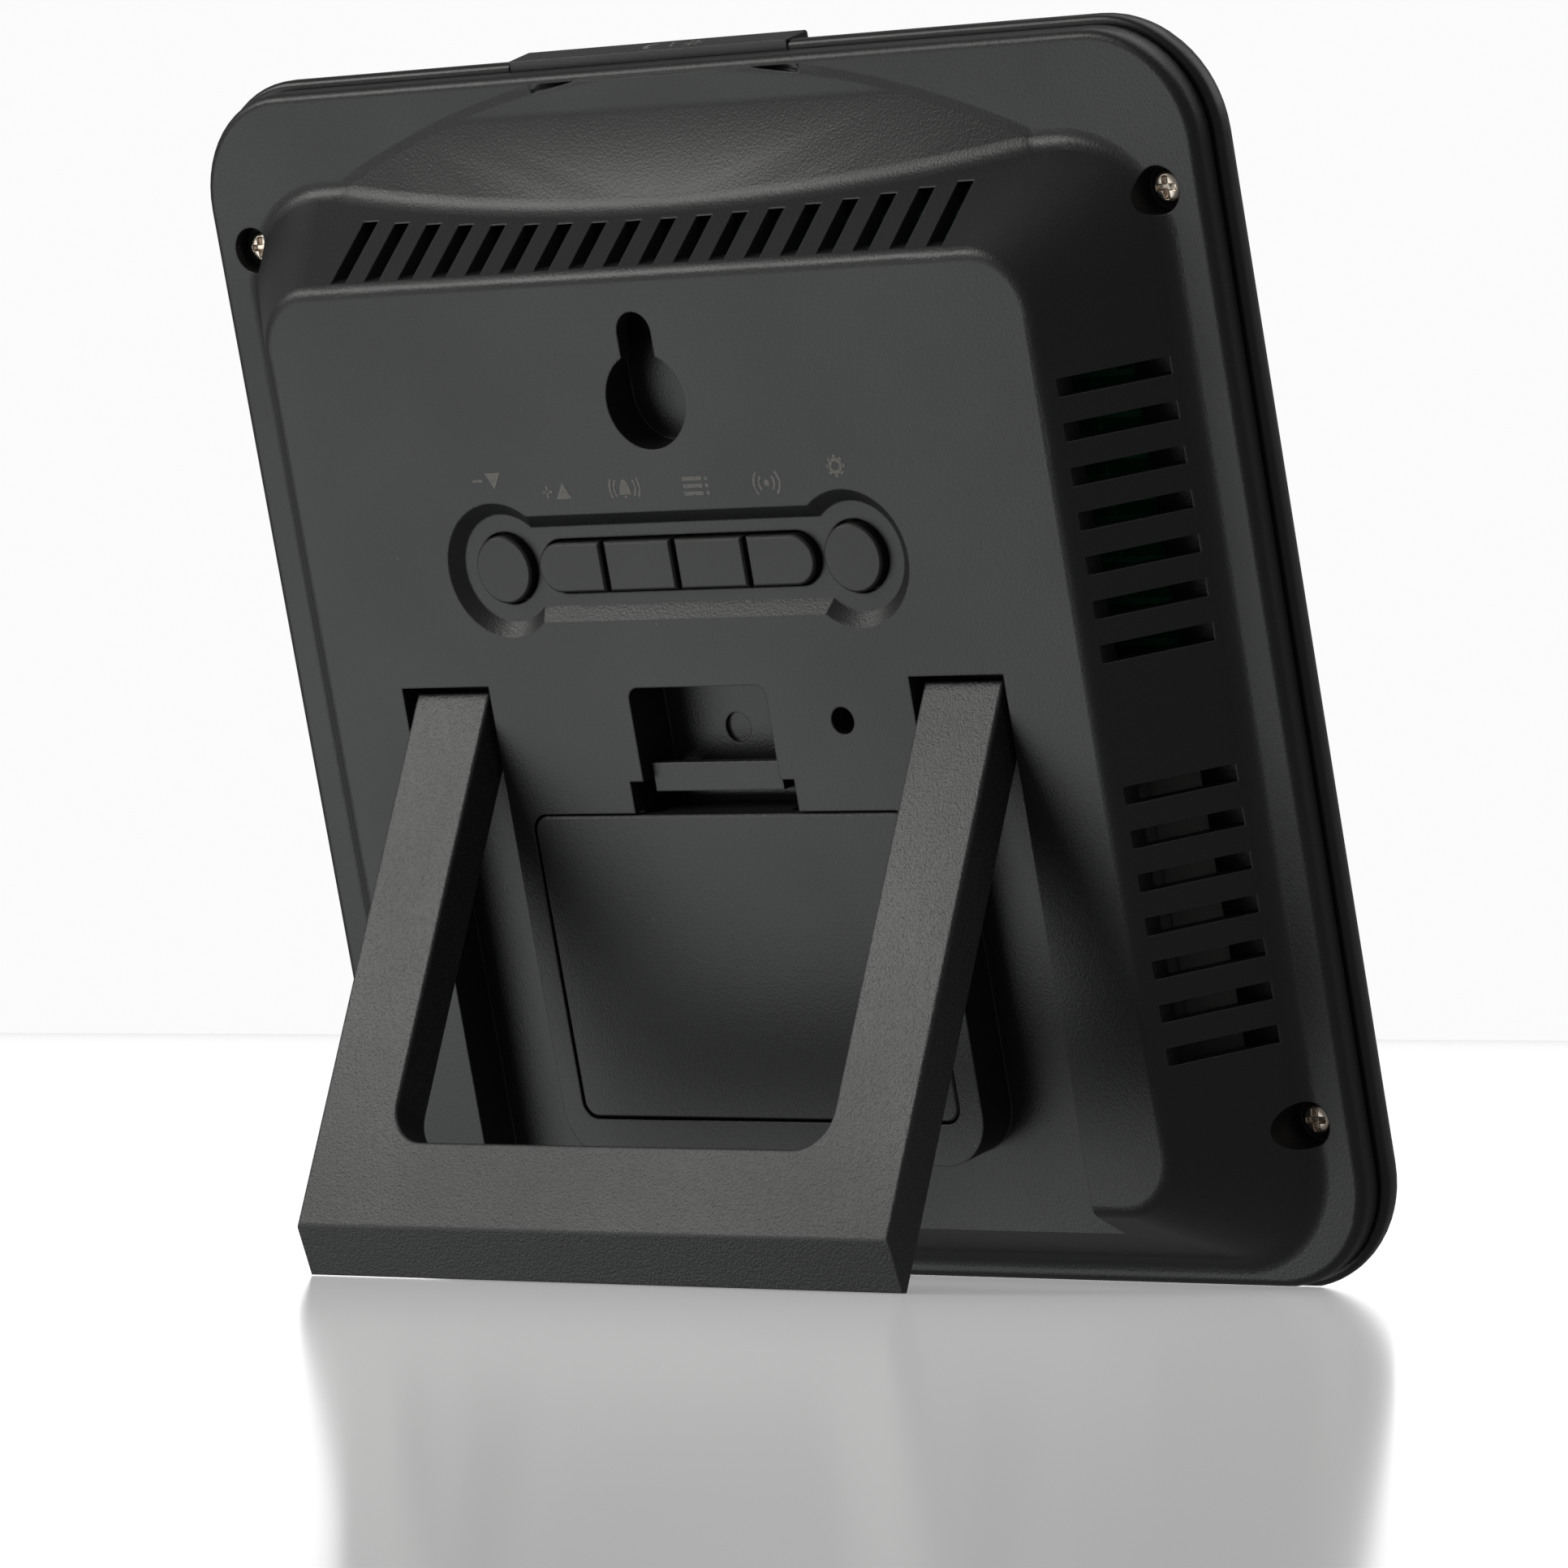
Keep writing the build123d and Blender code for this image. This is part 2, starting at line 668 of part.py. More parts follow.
with BuildPart() as display_frame:
    block(frame_half, frame_low, frame_high, bezel_inside, frame_end - bezel_inside)
    inner_low = frame_low + frame_wall
    inner_high = frame_high - frame_wall
    hold = 2 * frame_wall
    block(frame_half - frame_wall, inner_low, inner_high, front_face, guide_back - front_face, CUT)
    block(frame_half - frame_wall - hold, inner_low + hold, inner_high - hold, front_face, through, CUT)
    board_x = frame_half - frame_wall / 2
    lower_screw = board_low + board_screw_lift
    upper_screw = frame_high - frame_wall / 2
    board_screws_at = [(x, lower_screw) for x in (-board_x, board_x)]
    board_screws_at += [(x, upper_screw) for x in (-board_screw_x, board_screw_x)]
    for x, y in board_screws_at:
        post(x, y, board_screw + snug, frame_end - board_screw_hole, through, CUT)
write(display_frame, "display_frame")

# ---- main board and what stands on it
board_front = frame_end
board_back = board_front + board_thickness
with BuildPart() as main_board:
    block(frame_half, board_low, frame_high - board_top_gap, board_front, board_thickness)
    chamfer(main_board.edges().filter_by(outward).group_by(upward)[-1], board_corner)
    for x, y in board_screws_at:
        post(x, y, board_screw + fit_gap, board_front - overrun, through, CUT)
write(main_board, "main_board")

with BuildPart() as controller_chip:
    chip_low = keyhole_height - chip_half
    block(chip_half, chip_low, chip_low + 2 * chip_half, board_back, chip_thickness, x=chip_x)
write(controller_chip, "controller_chip")

with BuildPart() as receiver_module:
    receiver_low = keyhole_height - receiver_half_height
    receiver_high = keyhole_height + receiver_half_height
    can_low = keyhole_height - can_half_height
    can_high = keyhole_height + can_half_height
    receiver_top = board_back + receiver_thickness
    block(receiver_half_width, receiver_low, receiver_high, board_back, receiver_thickness, x=receiver_x)
    block(can_half_width, can_low, can_high, receiver_top, can_thickness, x=can_x)
write(receiver_module, "receiver_module")

with BuildPart() as antenna:
    post(wire_start, keyhole_height, wire_radius, receiver_top, wire_rise)
    with BuildSketch(beside(wire_start - wire_radius)) as wire:
        with Locations((keyhole_height, receiver_top + wire_rise - wire_radius)):
            Circle(wire_radius)
    extrude(wire.sketch, amount=wire_length)
write(antenna, "antenna")

with BuildPart() as beeper:
    beeper_place = keys_height - beeper_drop
    post(beeper_x, beeper_place, beeper_radius, board_back, beeper_height)
    post(beeper_x, beeper_place, beeper_hole, board_back + beeper_height / 2, through, CUT)
write(beeper, "beeper")

with BuildPart() as climate_sensor:
    sensor_x = sensor_inset - frame_half
    sensor_low = keys_height - sensor_half
    block(sensor_half, sensor_low, sensor_low + 2 * sensor_half, board_back, sensor_thickness, x=sensor_x)
write(climate_sensor, "climate_sensor")

# ---- key board behind the keys, with its switches, the power socket and the header down to the main board
with BuildPart() as key_board:
    key_board_under = key_board_top - board_thickness
    board_edge_low = keys_height - key_board_low
    board_edge_high = keys_height + key_board_high
    block(key_board_half, board_edge_low, board_edge_high, key_board_under, board_thickness)
    tab_half = socket_body / 2 + socket_margin
    tab_low = socket_height - tab_half
    block(tab_half, tab_low, board_edge_low + overrun, key_board_under, board_thickness, x=socket_x)
    for x, y in key_posts_at:
        post(x, y, key_screw + fit_gap, key_board_under - overrun, through, CUT)
write(key_board, "key_board")

key_names = ["down_button", "up_button", "alarm_button", "memory_button", "channel_button", "set_button"]
outer_key = (key_bar_half + key_split) / 2
switch_x = [-key_spread, -outer_key, -key_split / 2, key_split / 2, outer_key, key_spread]
with BuildPart() as key_switches:
    for x in switch_x:
        side = switch_side / 2
        block(side, keys_height - side, keys_height + side, key_board_top, switch_height, x=x)
        post(x, keys_height, stem_radius, key_board_top + switch_height, stem_height)
write(key_switches, "key_switches")

with BuildPart() as board_header:
    header_room = key_board_under - board_back
    low = board_edge_high - header_low
    block(header_half, low, board_edge_high - header_high, board_back, header_room, x=header_x)
write(board_header, "board_header")

with BuildPart() as power_socket:
    side = socket_body / 2
    socket_rise = back_rise - wall - snug - key_board_top
    block(side, socket_height - side, socket_height + side, key_board_top, socket_rise, x=socket_x)
    post(socket_x, socket_height, socket_radius, back_rise - wall - socket_bore, through, CUT)
write(power_socket, "power_socket")

with BuildPart() as key_board_screws:
    for x, y in key_posts_at:
        post(x, y, key_screw_head, key_board_under - key_screw_head_height, key_screw_head_height)
        post(x, y, key_screw, key_board_under, board_thickness + key_screw_length)
write(key_board_screws, "key_board_screws")

with BuildPart() as board_screws:
    for x, y in board_screws_at:
        post(x, y, board_screw_head, board_back, board_screw_head_height)
        post(x, y, board_screw, board_back - board_screw_length, board_screw_length)
write(board_screws, "board_screws")

# ---- keys: each has a cap that stands above the recess and a flange that keeps it in
key_top = key_floor + key_stand
cap_low = keys_height - key_bar_height / 2 + key_gap
cap_high = keys_height + key_bar_height / 2 - key_gap
cap_round = (cap_high - cap_low) / 2
cap_end = key_bar_half - key_gap
key_spans = [
    (-cap_end, -key_split - key_gap), (-key_split + key_gap, -key_gap), (key_gap, key_split - key_gap),
    (key_split + key_gap, cap_end),
]
for name, x in ((key_names[0], -key_spread), (key_names[-1], key_spread)):
    with BuildPart() as round_button:
        post(x, keys_height, round_key, key_bottom, key_top - key_bottom)
        chamfer(round_button.faces().sort_by(outward)[-1].edges(), key_edge)
        post(x, keys_height, round_key + key_flange, key_bottom, key_flange)
    write(round_button, name)

for name, (start, end) in zip(key_names[1:-1], key_spans):
    with BuildPart() as bar_button:
        with BuildSketch(at(key_bottom)) as cap:
            with Locations((0, keys_height)):
                SlotOverall(2 * cap_end, 2 * cap_round)
            with Locations(((start + end) / 2, keys_height)):
                Rectangle(end - start, 4 * cap_round, mode=Mode.INTERSECT)
        extrude(cap.sketch, amount=key_top - key_bottom)
        chamfer(bar_button.faces().sort_by(outward)[-1].edges(), key_edge)
        rounded_end = cap_round if abs(start + end) > 2 * key_split else 0
        middle = (start + end) / 2 + (rounded_end if start < 0 else -rounded_end)
        for low in (cap_low - key_flange, cap_high - key_flange_hold):
            high = low + key_flange + key_flange_hold
            block((end - start) / 2 - rounded_end, low, high, key_bottom, key_flange, x=middle)
    write(bar_button, name)

# ---- snooze bar in the bezel's top edge, and the switch under it
with BuildPart() as snooze_bar:
    with BuildSketch(beside(bar_left)) as bar_section:
        with BuildLine():
            Polyline(
                (cover_height - bar_skirt, bezel_rear),
                (cover_height + bar_rise, bezel_rear),
                (cover_height + bar_rise + bar_lift, bar_front),
                (cover_height - bar_skirt, bar_front),
                close=True,
            )
        make_face()
    extrude(bar_section.sketch, amount=2 * bar_half)
    chamfer(snooze_bar.edges().filter_by(Axis.X).sort_by(upward)[-1:], bar_edge)
    flange_high = bar_stop - snug
    flange_low = flange_high - bar_flange_thickness
    block(bar_half + bar_flange, flange_low, flange_high, bar_front, bar_depth, x=bar_middle)
write(snooze_bar, "snooze_bar")

with BuildPart() as snooze_switch:
    switch_low = frame_high + snug
    stem_end = cover_height - bar_skirt - bar_travel - fit_gap
    switch_front = bezel_inside + snug
    stem_front = switch_front + bar_stem_inset
    stem_depth = bezel_rear - bar_stem_inset - stem_front
    switch_high = stem_end - stem_height
    block(switch_side / 2, switch_low, switch_high, switch_front, bezel_rear - switch_front, x=bar_middle)
    block(bar_stem_half, switch_high, stem_end, stem_front, stem_depth, x=bar_middle)
write(snooze_switch, "snooze_switch")

# ---- case screws: pan heads with a cross
with BuildPart() as case_screws:
    head_base = -screw_sink - screw_head_height
    cross_floor = head_base + screw_cross_floor
    for x, y in case_screws_at:
        post(x, y, screw_head, head_base, screw_head_height)
    fillet(case_screws.faces().sort_by(outward)[-4:].edges(), screw_head_round)
    for x, y in case_screws_at:
        post(x, y, screw_shank - tiny, head_base - screw_length, screw_length)
        block(screw_cross, y - screw_cross_half, y + screw_cross_half, cross_floor, through, CUT, x=x)
        block(screw_cross_half, y - screw_cross, y + screw_cross, cross_floor, through, CUT, x=x)
write(case_screws, "case_screws")

# ---- battery door with its bottom hooks and sprung latch
latch_root = door_top - latch_thickness
latch_rise = slot_high - latch_gap - latch_thickness
latch_high = latch_rise + latch_thickness
latch_end = latch_rise + latch_lip
latch_top = back_rise - latch_sink
latch_under = latch_top - latch_thickness
latch_inner = latch_root + latch_thickness
bend = latch_rise - latch_root
bend_middle = latch_root + bend / 2 + latch_thickness / 2
bend_low = slot_floor + latch_bend_gap
low_point = slot_floor + latch_bend_low + bend / 2
with BuildPart() as battery_door:
    plate(2 * door_half, door_bottom, door_top, door_corner, door_under, door_thickness)
    chamfer(battery_door.faces().sort_by(outward)[-1].edges(), door_edge)
    with BuildSketch(beside(-latch_half)) as latch:
        with BuildLine():
            Line((latch_root, door_under), (latch_root, low_point))
            ThreePointArc((latch_root, low_point), (bend_middle, bend_low), (latch_high, low_point))
            Polyline(
                (latch_high, low_point),
                (latch_high, latch_under),
                (latch_end, latch_under),
                (latch_end, latch_top),
                (latch_rise, latch_top),
                (latch_rise, low_point),
            )
            inner_low = bend_low + latch_thickness
            ThreePointArc((latch_rise, low_point), (bend_middle, inner_low), (latch_inner, low_point))
            Polyline((latch_inner, low_point), (latch_inner, door_under), (latch_root, door_under))
        make_face()
    extrude(latch.sketch, amount=2 * latch_half)
    for x in (-door_half / 2, door_half / 2):
        hook_low = door_bottom - hook_reach
        hook_high = door_bottom + hook_hold
        block(hook_half, hook_low, hook_high, door_under - hook_thickness, hook_thickness, x=x)
write(battery_door, "battery_door")

# ---- three cells and their contacts
for name, row in (("lower_cell", -1), ("middle_cell", 0), ("upper_cell", 1)):
    height = (bay_low + bay_high) / 2 + row * cell_pitch
    way = -1 if row else 1
    with BuildPart() as cell:
        with BuildSketch(beside(-cell_length / 2)) as cell_end:
            with Locations((height, cell_depth)):
                Circle(cell_radius)
        extrude(cell_end.sketch, amount=cell_length - cell_button_height)
        with BuildSketch(beside(cell_length / 2 - cell_button_height)) as button_end:
            with Locations((height, cell_depth)):
                Circle(cell_button)
        extrude(button_end.sketch, amount=cell_button_height)
        if way < 0:
            mirror(about=Plane(origin=panel.origin, z_dir=panel.x_dir), mode=Mode.REPLACE)
    write(cell, name)

with BuildPart() as contact_springs:
    for row in (-1, 0, 1):
        height = (bay_low + bay_high) / 2 + row * cell_pitch
        way = 1 if row else -1
        reach_in = bay_half - cell_length / 2
        ring_step = (reach_in - spring_room) / (spring_rings - 1)
        for turn in range(spring_rings):
            ring_x = way * (cell_length / 2 + spring_start + turn * ring_step)
            ring_inner = spring_inner + spring_growth * turn
            with BuildSketch(beside(ring_x - spring_wire / 2)) as ring:
                with Locations((height, cell_depth)):
                    Circle(ring_inner + spring_wire)
                    Circle(ring_inner, mode=Mode.SUBTRACT)
            extrude(ring.sketch, amount=spring_wire)
write(contact_springs, "contact_springs")

with BuildPart() as contact_plates:
    for row in (-1, 0, 1):
        height = (bay_low + bay_high) / 2 + row * cell_pitch
        way = -1 if row else 1
        low = height - contact_half
        plate_low = bay_floor + contact_lift
        plate_x = way * (bay_half - contact_thickness / 2 - contact_gap)
        block(contact_thickness / 2, low, low + 2 * contact_half, plate_low, contact_height, x=plate_x)
write(contact_plates, "contact_plates")

# ---- stand: a U with a bevelled foot, hung on two stub pins
stand_plane = Plane(
    origin=panel.from_local_coords((0, pivot_height, pivot_depth)),
    x_dir=panel.x_dir,
    z_dir=panel.y_dir * sin(radians(stand_angle)) + panel.z_dir * cos(radians(stand_angle)),
)
stand_half = recess_half - stand_gap
window_half = block_half + stand_gap
stand_back = pivot_inset - stand_thickness
stand_end = pivot_drop - stand_length - foot_bevel
window_low = pivot_drop - stand_length + crossbar
with BuildPart() as stand:
    with BuildSketch(stand_plane.offset(stand_back)) as outline:
        with Locations((0, (pivot_drop + stand_end) / 2)):
            Rectangle(2 * stand_half, pivot_drop - stand_end)
        with Locations((0, window_low + cover_height / 2)):
            RectangleRounded(2 * window_half, cover_height, window_corner, mode=Mode.SUBTRACT)
    extrude(outline.sketch, amount=stand_thickness)
    stand_outward = Axis(stand_plane.origin, stand_plane.z_dir)
    stand_upward = Axis(stand_plane.origin, stand_plane.y_dir)
    across_edges = stand.edges().filter_by(Axis.X)
    foot_edge = across_edges.group_by(stand_upward)[0].sort_by(stand_outward)[-1]
    heels = across_edges.group_by(stand_upward)[-1].sort_by(stand_outward)[:2]
    fillet(heels, heel_round)
    foot_face = stand.faces().sort_by(stand_outward)[-1]
    chamfer(foot_edge, foot_bevel, foot_bevel_depth, reference=foot_face)
    fillet(stand.faces().sort_by(stand_outward)[-1].edges(), stand_edge)
    pin_reach = stand_gap + pin_length
    for start in (-stand_half - pin_reach, stand_half):
        with BuildSketch(beside(start)) as pin:
            with Locations((pivot_height, pivot_depth)):
                Circle(pin_radius)
        extrude(pin.sketch, amount=pin_reach)
    split(bisect_by=Plane.XY, keep=Keep.TOP)
write(stand, "stand")
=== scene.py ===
import json
import math

import bmesh
import bpy
import numpy as np
from mathutils import Matrix, Vector


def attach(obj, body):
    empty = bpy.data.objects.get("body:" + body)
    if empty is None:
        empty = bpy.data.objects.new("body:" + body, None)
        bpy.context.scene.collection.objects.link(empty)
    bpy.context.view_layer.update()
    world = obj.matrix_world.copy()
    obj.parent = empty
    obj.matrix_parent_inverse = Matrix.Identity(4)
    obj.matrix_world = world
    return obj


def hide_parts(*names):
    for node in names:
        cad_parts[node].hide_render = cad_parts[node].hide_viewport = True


bl_info = {
    "name": "Leaning Desk Clock",
    "version": (1, 0, 0),
    "blender": (4, 5, 0),
    "location": "View3D > Sidebar > Clock",
    "description": "Finishes, marks, springs, screws and display of a leaning desk clock",
    "category": "Object",
}

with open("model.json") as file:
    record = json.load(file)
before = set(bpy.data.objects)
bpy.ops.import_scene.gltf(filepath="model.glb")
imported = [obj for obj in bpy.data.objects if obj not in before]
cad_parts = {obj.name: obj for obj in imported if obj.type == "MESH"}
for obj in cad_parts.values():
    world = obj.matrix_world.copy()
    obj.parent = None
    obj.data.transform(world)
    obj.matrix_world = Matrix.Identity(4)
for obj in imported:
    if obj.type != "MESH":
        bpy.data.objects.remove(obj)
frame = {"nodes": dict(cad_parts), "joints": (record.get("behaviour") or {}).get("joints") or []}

MM = 0.001
NODES = frame["nodes"]

# ---- the leaning panel: across it to the right as the back is seen, up it, and out of its back


def joint_axis(name):
    """Unit axis of one of the frame's joints."""
    return np.array(next(j for j in frame["joints"] if j["name"] == name)["axis"], float)


OUT = -joint_axis("set_press") / np.linalg.norm(joint_axis("set_press"))
RISE = -joint_axis("snooze_press") / np.linalg.norm(joint_axis("snooze_press"))
ACROSS = np.cross(RISE, OUT)
PANEL = np.array([ACROSS, RISE, OUT])


def node_points(name):
    """A node's vertices in the row frame, as an array."""
    mesh = NODES[name].data
    points = np.empty(len(mesh.vertices) * 3, np.float32)
    mesh.vertices.foreach_get("co", points)
    return points.reshape(-1, 3).astype(float)


def panel_box(name):
    """Lowest and highest panel coordinates of a node: across, up and out, in metres."""
    points = node_points(name) @ PANEL.T
    return points.min(0), points.max(0)


def to_row(points):
    """Panel coordinates (across, up, out) turned into the row frame."""
    return np.asarray(points, float) @ PANEL


# ---- meshes


def make_piece(name, vertices, faces, material, body, smooth=False):
    """One new piece of the object from arrays of points and faces, riding on its body."""
    mesh = bpy.data.meshes.new(name)
    mesh.from_pydata(np.asarray(vertices, float).tolist(), [], [list(map(int, face)) for face in faces])
    mesh.validate()
    mesh.update()
    mesh.polygons.foreach_set("use_smooth", np.full(len(mesh.polygons), smooth))
    mesh.materials.append(material)
    piece = bpy.data.objects.new(name, mesh)
    bpy.context.scene.collection.objects.link(piece)
    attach(piece, body)
    return piece


def grid_faces(rows, columns, closed_rows=False, closed_columns=False):
    """Quads of a grid of points: each joins a point with the next in its row and in the next row."""
    r = np.arange(rows if closed_rows else rows - 1)
    c = np.arange(columns if closed_columns else columns - 1)
    r, c = np.meshgrid(r, c, indexing="ij")
    r2, c2 = (r + 1) % rows, (c + 1) % columns
    quads = np.stack([r * columns + c, r * columns + c2, r2 * columns + c2, r2 * columns + c], -1)
    return quads.reshape(-1, 4)


def stroke(path, half_widths, low, high):
    """A printed stroke: at each point of a flat path a rectangle stands square to it, as wide as the
    stroke is there and from the low to the high level. The rectangles are joined in order and closed at
    both ends. Path points are (across, up); the result is panel coordinates and faces."""
    path = np.asarray(path, float)
    half = np.broadcast_to(np.asarray(half_widths, float), len(path))
    along = np.gradient(path, axis=0)
    along /= np.linalg.norm(along, axis=1, keepdims=True)
    side = np.stack([along[:, 1], -along[:, 0]], 1)
    left, right = path - side * half[:, None], path + side * half[:, None]
    corners = ((left, low), (right, low), (right, high), (left, high))
    ring = np.stack(
        [np.column_stack([side_points, np.full(len(path), level)]) for side_points, level in corners],
        1,
    )
    faces = [list(f) for f in grid_faces(len(path), 4, closed_columns=True)]
    last = (len(path) - 1) * 4
    faces += [[0, 3, 2, 1][::-1], [last, last + 3, last + 2, last + 1]]
    return ring.reshape(-1, 3), faces


def join_parts(parts):
    """Several (points, faces) pairs as one pair, their faces renumbered."""
    points, faces, offset = [], [], 0
    for part_points, part_faces in parts:
        points.append(part_points)
        faces += [[i + offset for i in face] for face in part_faces]
        offset += len(part_points)
    return np.concatenate(points), faces


def recalculate(piece):
    """Turns every face of a closed piece outwards."""
    shell = bmesh.new()
    shell.from_mesh(piece.data)
    bmesh.ops.remove_doubles(shell, verts=shell.verts, dist=1e-7)
    bmesh.ops.recalc_face_normals(shell, faces=shell.faces)
    shell.to_mesh(piece.data)
    shell.free()


def arc(centre, radius, start, end, points=24):
    """Points of a circular arc, from one angle to another, in degrees."""
    angle = np.radians(np.linspace(start, end, points))
    return np.stack([centre[0] + radius * np.cos(angle), centre[1] + radius * np.sin(angle)], 1)


def line(start, end, points=2):
    """Points evenly along a straight line."""
    return np.array(start)[None] + np.linspace(0.0, 1.0, points)[:, None] * (
        np.array(end) - np.array(start)
    )[None]


def disc_widths(radius, points):
    """Half widths that make a straight stroke as long as the diameter into a disc: the root of r^2 - s^2."""
    along = np.linspace(-1.0, 1.0, points)
    return radius * np.sqrt(np.clip(1.0 - along**2, 0.0004, 1.0))


def triangle_mark(size, way):
    """A filled triangle pointing up or down, with a plus or a minus beside it."""
    body = (
        line((0.55 * size, -way * 0.45 * size), (0.55 * size, way * 0.5 * size)),
        np.array([0.58, 0.02]) * size,
    )
    sign = [(line((-1.0 * size, 0.0), (-0.25 * size, 0.0)), 0.075 * size)]
    if way > 0:
        sign.append((line((-0.625 * size, -0.37 * size), (-0.625 * size, 0.37 * size)), 0.075 * size))
    return [body] + sign


def bell_mark(size, line_half):
    """A bell: a stroke down its middle whose width swells as a dome and flares at the mouth, with its clapper
    and a short arc of sound on each side."""
    down = np.linspace(0.0, 1.0, 24)
    widths = (
        0.07 + 0.27 * np.sqrt(np.clip(down * 1.6, 0.0, 1.0)) + 0.16 * np.clip(down - 0.72, 0.0, 1.0) ** 0.8
    ) * size
    path = line((0.0, 0.5 * size), (0.0, -0.32 * size), 24)
    clapper = (line((0.0, -0.36 * size), (0.0, -0.52 * size), 9), disc_widths(0.1 * size, 9))
    marks = [(path, widths), clapper]
    for start in (-38, 142):
        marks.append((arc((0.0, 0.05 * size), 0.72 * size, start, start + 76), line_half))
        marks.append((arc((0.0, 0.05 * size), 1.0 * size, start + 8, start + 68), line_half))
    return marks


def memory_mark(size):
    """Three stacked bars with a small dot at the end of each, as for stored readings."""
    marks = []
    for row in (-0.4, 0.0, 0.4):
        marks.append((line((-0.85 * size, row * size), (0.45 * size, row * size)), 0.11 * size))
        marks.append(
            (line((0.62 * size, row * size), (0.86 * size, row * size), 9), disc_widths(0.12 * size, 9))
        )
    return marks


def waves_mark(size, line_half):
    """A dot between two pairs of arcs, as for a radio channel."""
    marks = [(line((-0.14 * size, 0.0), (0.14 * size, 0.0), 11), disc_widths(0.14 * size, 11))]
    for start in (-45, 135):
        for radius in (0.4, 0.68):
            marks.append((arc((0.0, 0.0), radius * size, start, start + 90), line_half))
    return marks


def gear_mark(size):
    """A ring with eight teeth round it."""
    marks = [(arc((0.0, 0.0), 0.3 * size, 0, 360, 41), 0.09 * size)]
    for turn in np.radians(np.arange(8) * 45.0):
        way = np.array([math.cos(turn), math.sin(turn)]) * size
        marks.append((line(way * 0.36, way * 0.52), 0.085 * size))
    return marks


def print_marks(marks, place, level, thickness):
    """Marks as one set of points and faces: each stroke is laid flat at a place on the panel."""
    parts = []
    for path, widths in marks:
        points, faces = stroke(
            np.asarray(path) + np.asarray(place)[None], widths, level - thickness / 2, level + thickness
        )
        parts.append((points, faces))
    return join_parts(parts)


def helix_tube(start, end, coil_start, coil_end, turns, wire, sides=10, steps_per_turn=28):
    """A conical coil spring: its centreline turns about the line from start to end while its radius goes from
    one value to the other, and a circle of the wire's size is carried along it. The last half turn at
    each end lies flat. Panel coordinates."""
    start, end = np.asarray(start, float), np.asarray(end, float)
    steps = int(turns * steps_per_turn) + 1
    s = np.linspace(0.0, 1.0, steps)
    flat = 0.5 / turns
    rise = np.clip((s - flat) / (1 - 2 * flat), 0.0, 1.0)
    axis = (end - start) / np.linalg.norm(end - start)
    side = np.cross(axis, [0.0, 0.0, 1.0])
    side /= np.linalg.norm(side)
    other = np.cross(axis, side)
    angle = 2 * math.pi * turns * s
    radius = coil_start + (coil_end - coil_start) * s
    inset = wire / 2
    length = np.linalg.norm(end - start) - wire
    centre = (
        start[None]
        + axis[None] * (inset + length * rise)[:, None]
        + radius[:, None] * (np.cos(angle)[:, None] * side[None] + np.sin(angle)[:, None] * other[None])
    )
    along = np.gradient(centre, axis=0)
    along /= np.linalg.norm(along, axis=1, keepdims=True)
    outward = np.cos(angle)[:, None] * side[None] + np.sin(angle)[:, None] * other[None]
    outward -= along * np.sum(outward * along, axis=1, keepdims=True)
    outward /= np.linalg.norm(outward, axis=1, keepdims=True)
    third = np.cross(along, outward)
    turn = np.linspace(0.0, 2 * math.pi, sides, endpoint=False)
    ring = (
        centre[:, None]
        + wire / 2 * (
            np.cos(turn)[None, :, None] * outward[:, None] + np.sin(turn)[None, :, None] * third[:, None]
        )
    )
    faces = [list(f) for f in grid_faces(steps, sides, closed_columns=True)]
    last = (steps - 1) * sides
    faces += [list(range(sides)), [last + i for i in range(sides)][::-1]]
    return ring.reshape(-1, 3), faces


def screw_surface(centre, head_radius, shank_radius, top, base, tip):
    """One pan-head screw about a line square to the panel. Rings of points go from the middle of the head's
    top out to its edge, in under it, and down the shank. On the head the height is a dome less a tapered
    cross; on the shank the radius is the core plus a ridge that turns with the depth, which is the thread."""
    turns, head_rings, shank_rings = 96, 36, 90
    angle = np.linspace(0.0, 2 * math.pi, turns, endpoint=False)
    out = np.linspace(0.02, 1.0, head_rings) * head_radius
    r, a = np.meshgrid(out, angle, indexing="ij")
    x, y = r * np.cos(a), r * np.sin(a)
    dome = top - (top - base) * (0.12 * (r / head_radius) ** 2 + 0.5 * (r / head_radius) ** 8)
    arm = np.minimum(np.abs(x), np.abs(y))
    reach = np.clip((0.68 * head_radius - r) / (0.12 * head_radius), 0.0, 1.0)
    groove = np.clip((0.19 * head_radius - arm) / (0.06 * head_radius), 0.0, 1.0) * reach
    level = dome - groove * (0.62 * (top - base)) * (1.0 - 0.35 * r / head_radius)
    head = np.stack([x, y, level], -1)
    down = np.linspace(0.0, 1.0, shank_rings)
    depth = base + (tip - base) * down
    d, a2 = np.meshgrid(depth, angle, indexing="ij")
    pitch = 0.8 * MM
    phase = (a2 / (2 * math.pi) + d / pitch) % 1.0
    ridge = 1.0 - np.abs(2.0 * phase - 1.0)
    taper = np.clip((1.0 - down) / 0.14, 0.05, 1.0)[:, None]
    core = shank_radius * (0.8 + 0.19 * ridge * np.clip(down * 8, 0, 1)[:, None]) * taper
    shank = np.stack([core * np.cos(a2), core * np.sin(a2), d], -1)
    rim = np.stack(
        [head_radius * np.cos(angle), head_radius * np.sin(angle), np.full(turns, base)], -1
    )[None]
    rings = np.concatenate([head, rim, shank])
    points = rings.reshape(-1, 3) + np.array([centre[0], centre[1], 0.0])
    faces = [list(f) for f in grid_faces(len(rings), turns, closed_columns=True)]
    last = (len(rings) - 1) * turns
    faces += [list(range(turns))[::-1], [last + i for i in range(turns)]]
    return points, faces


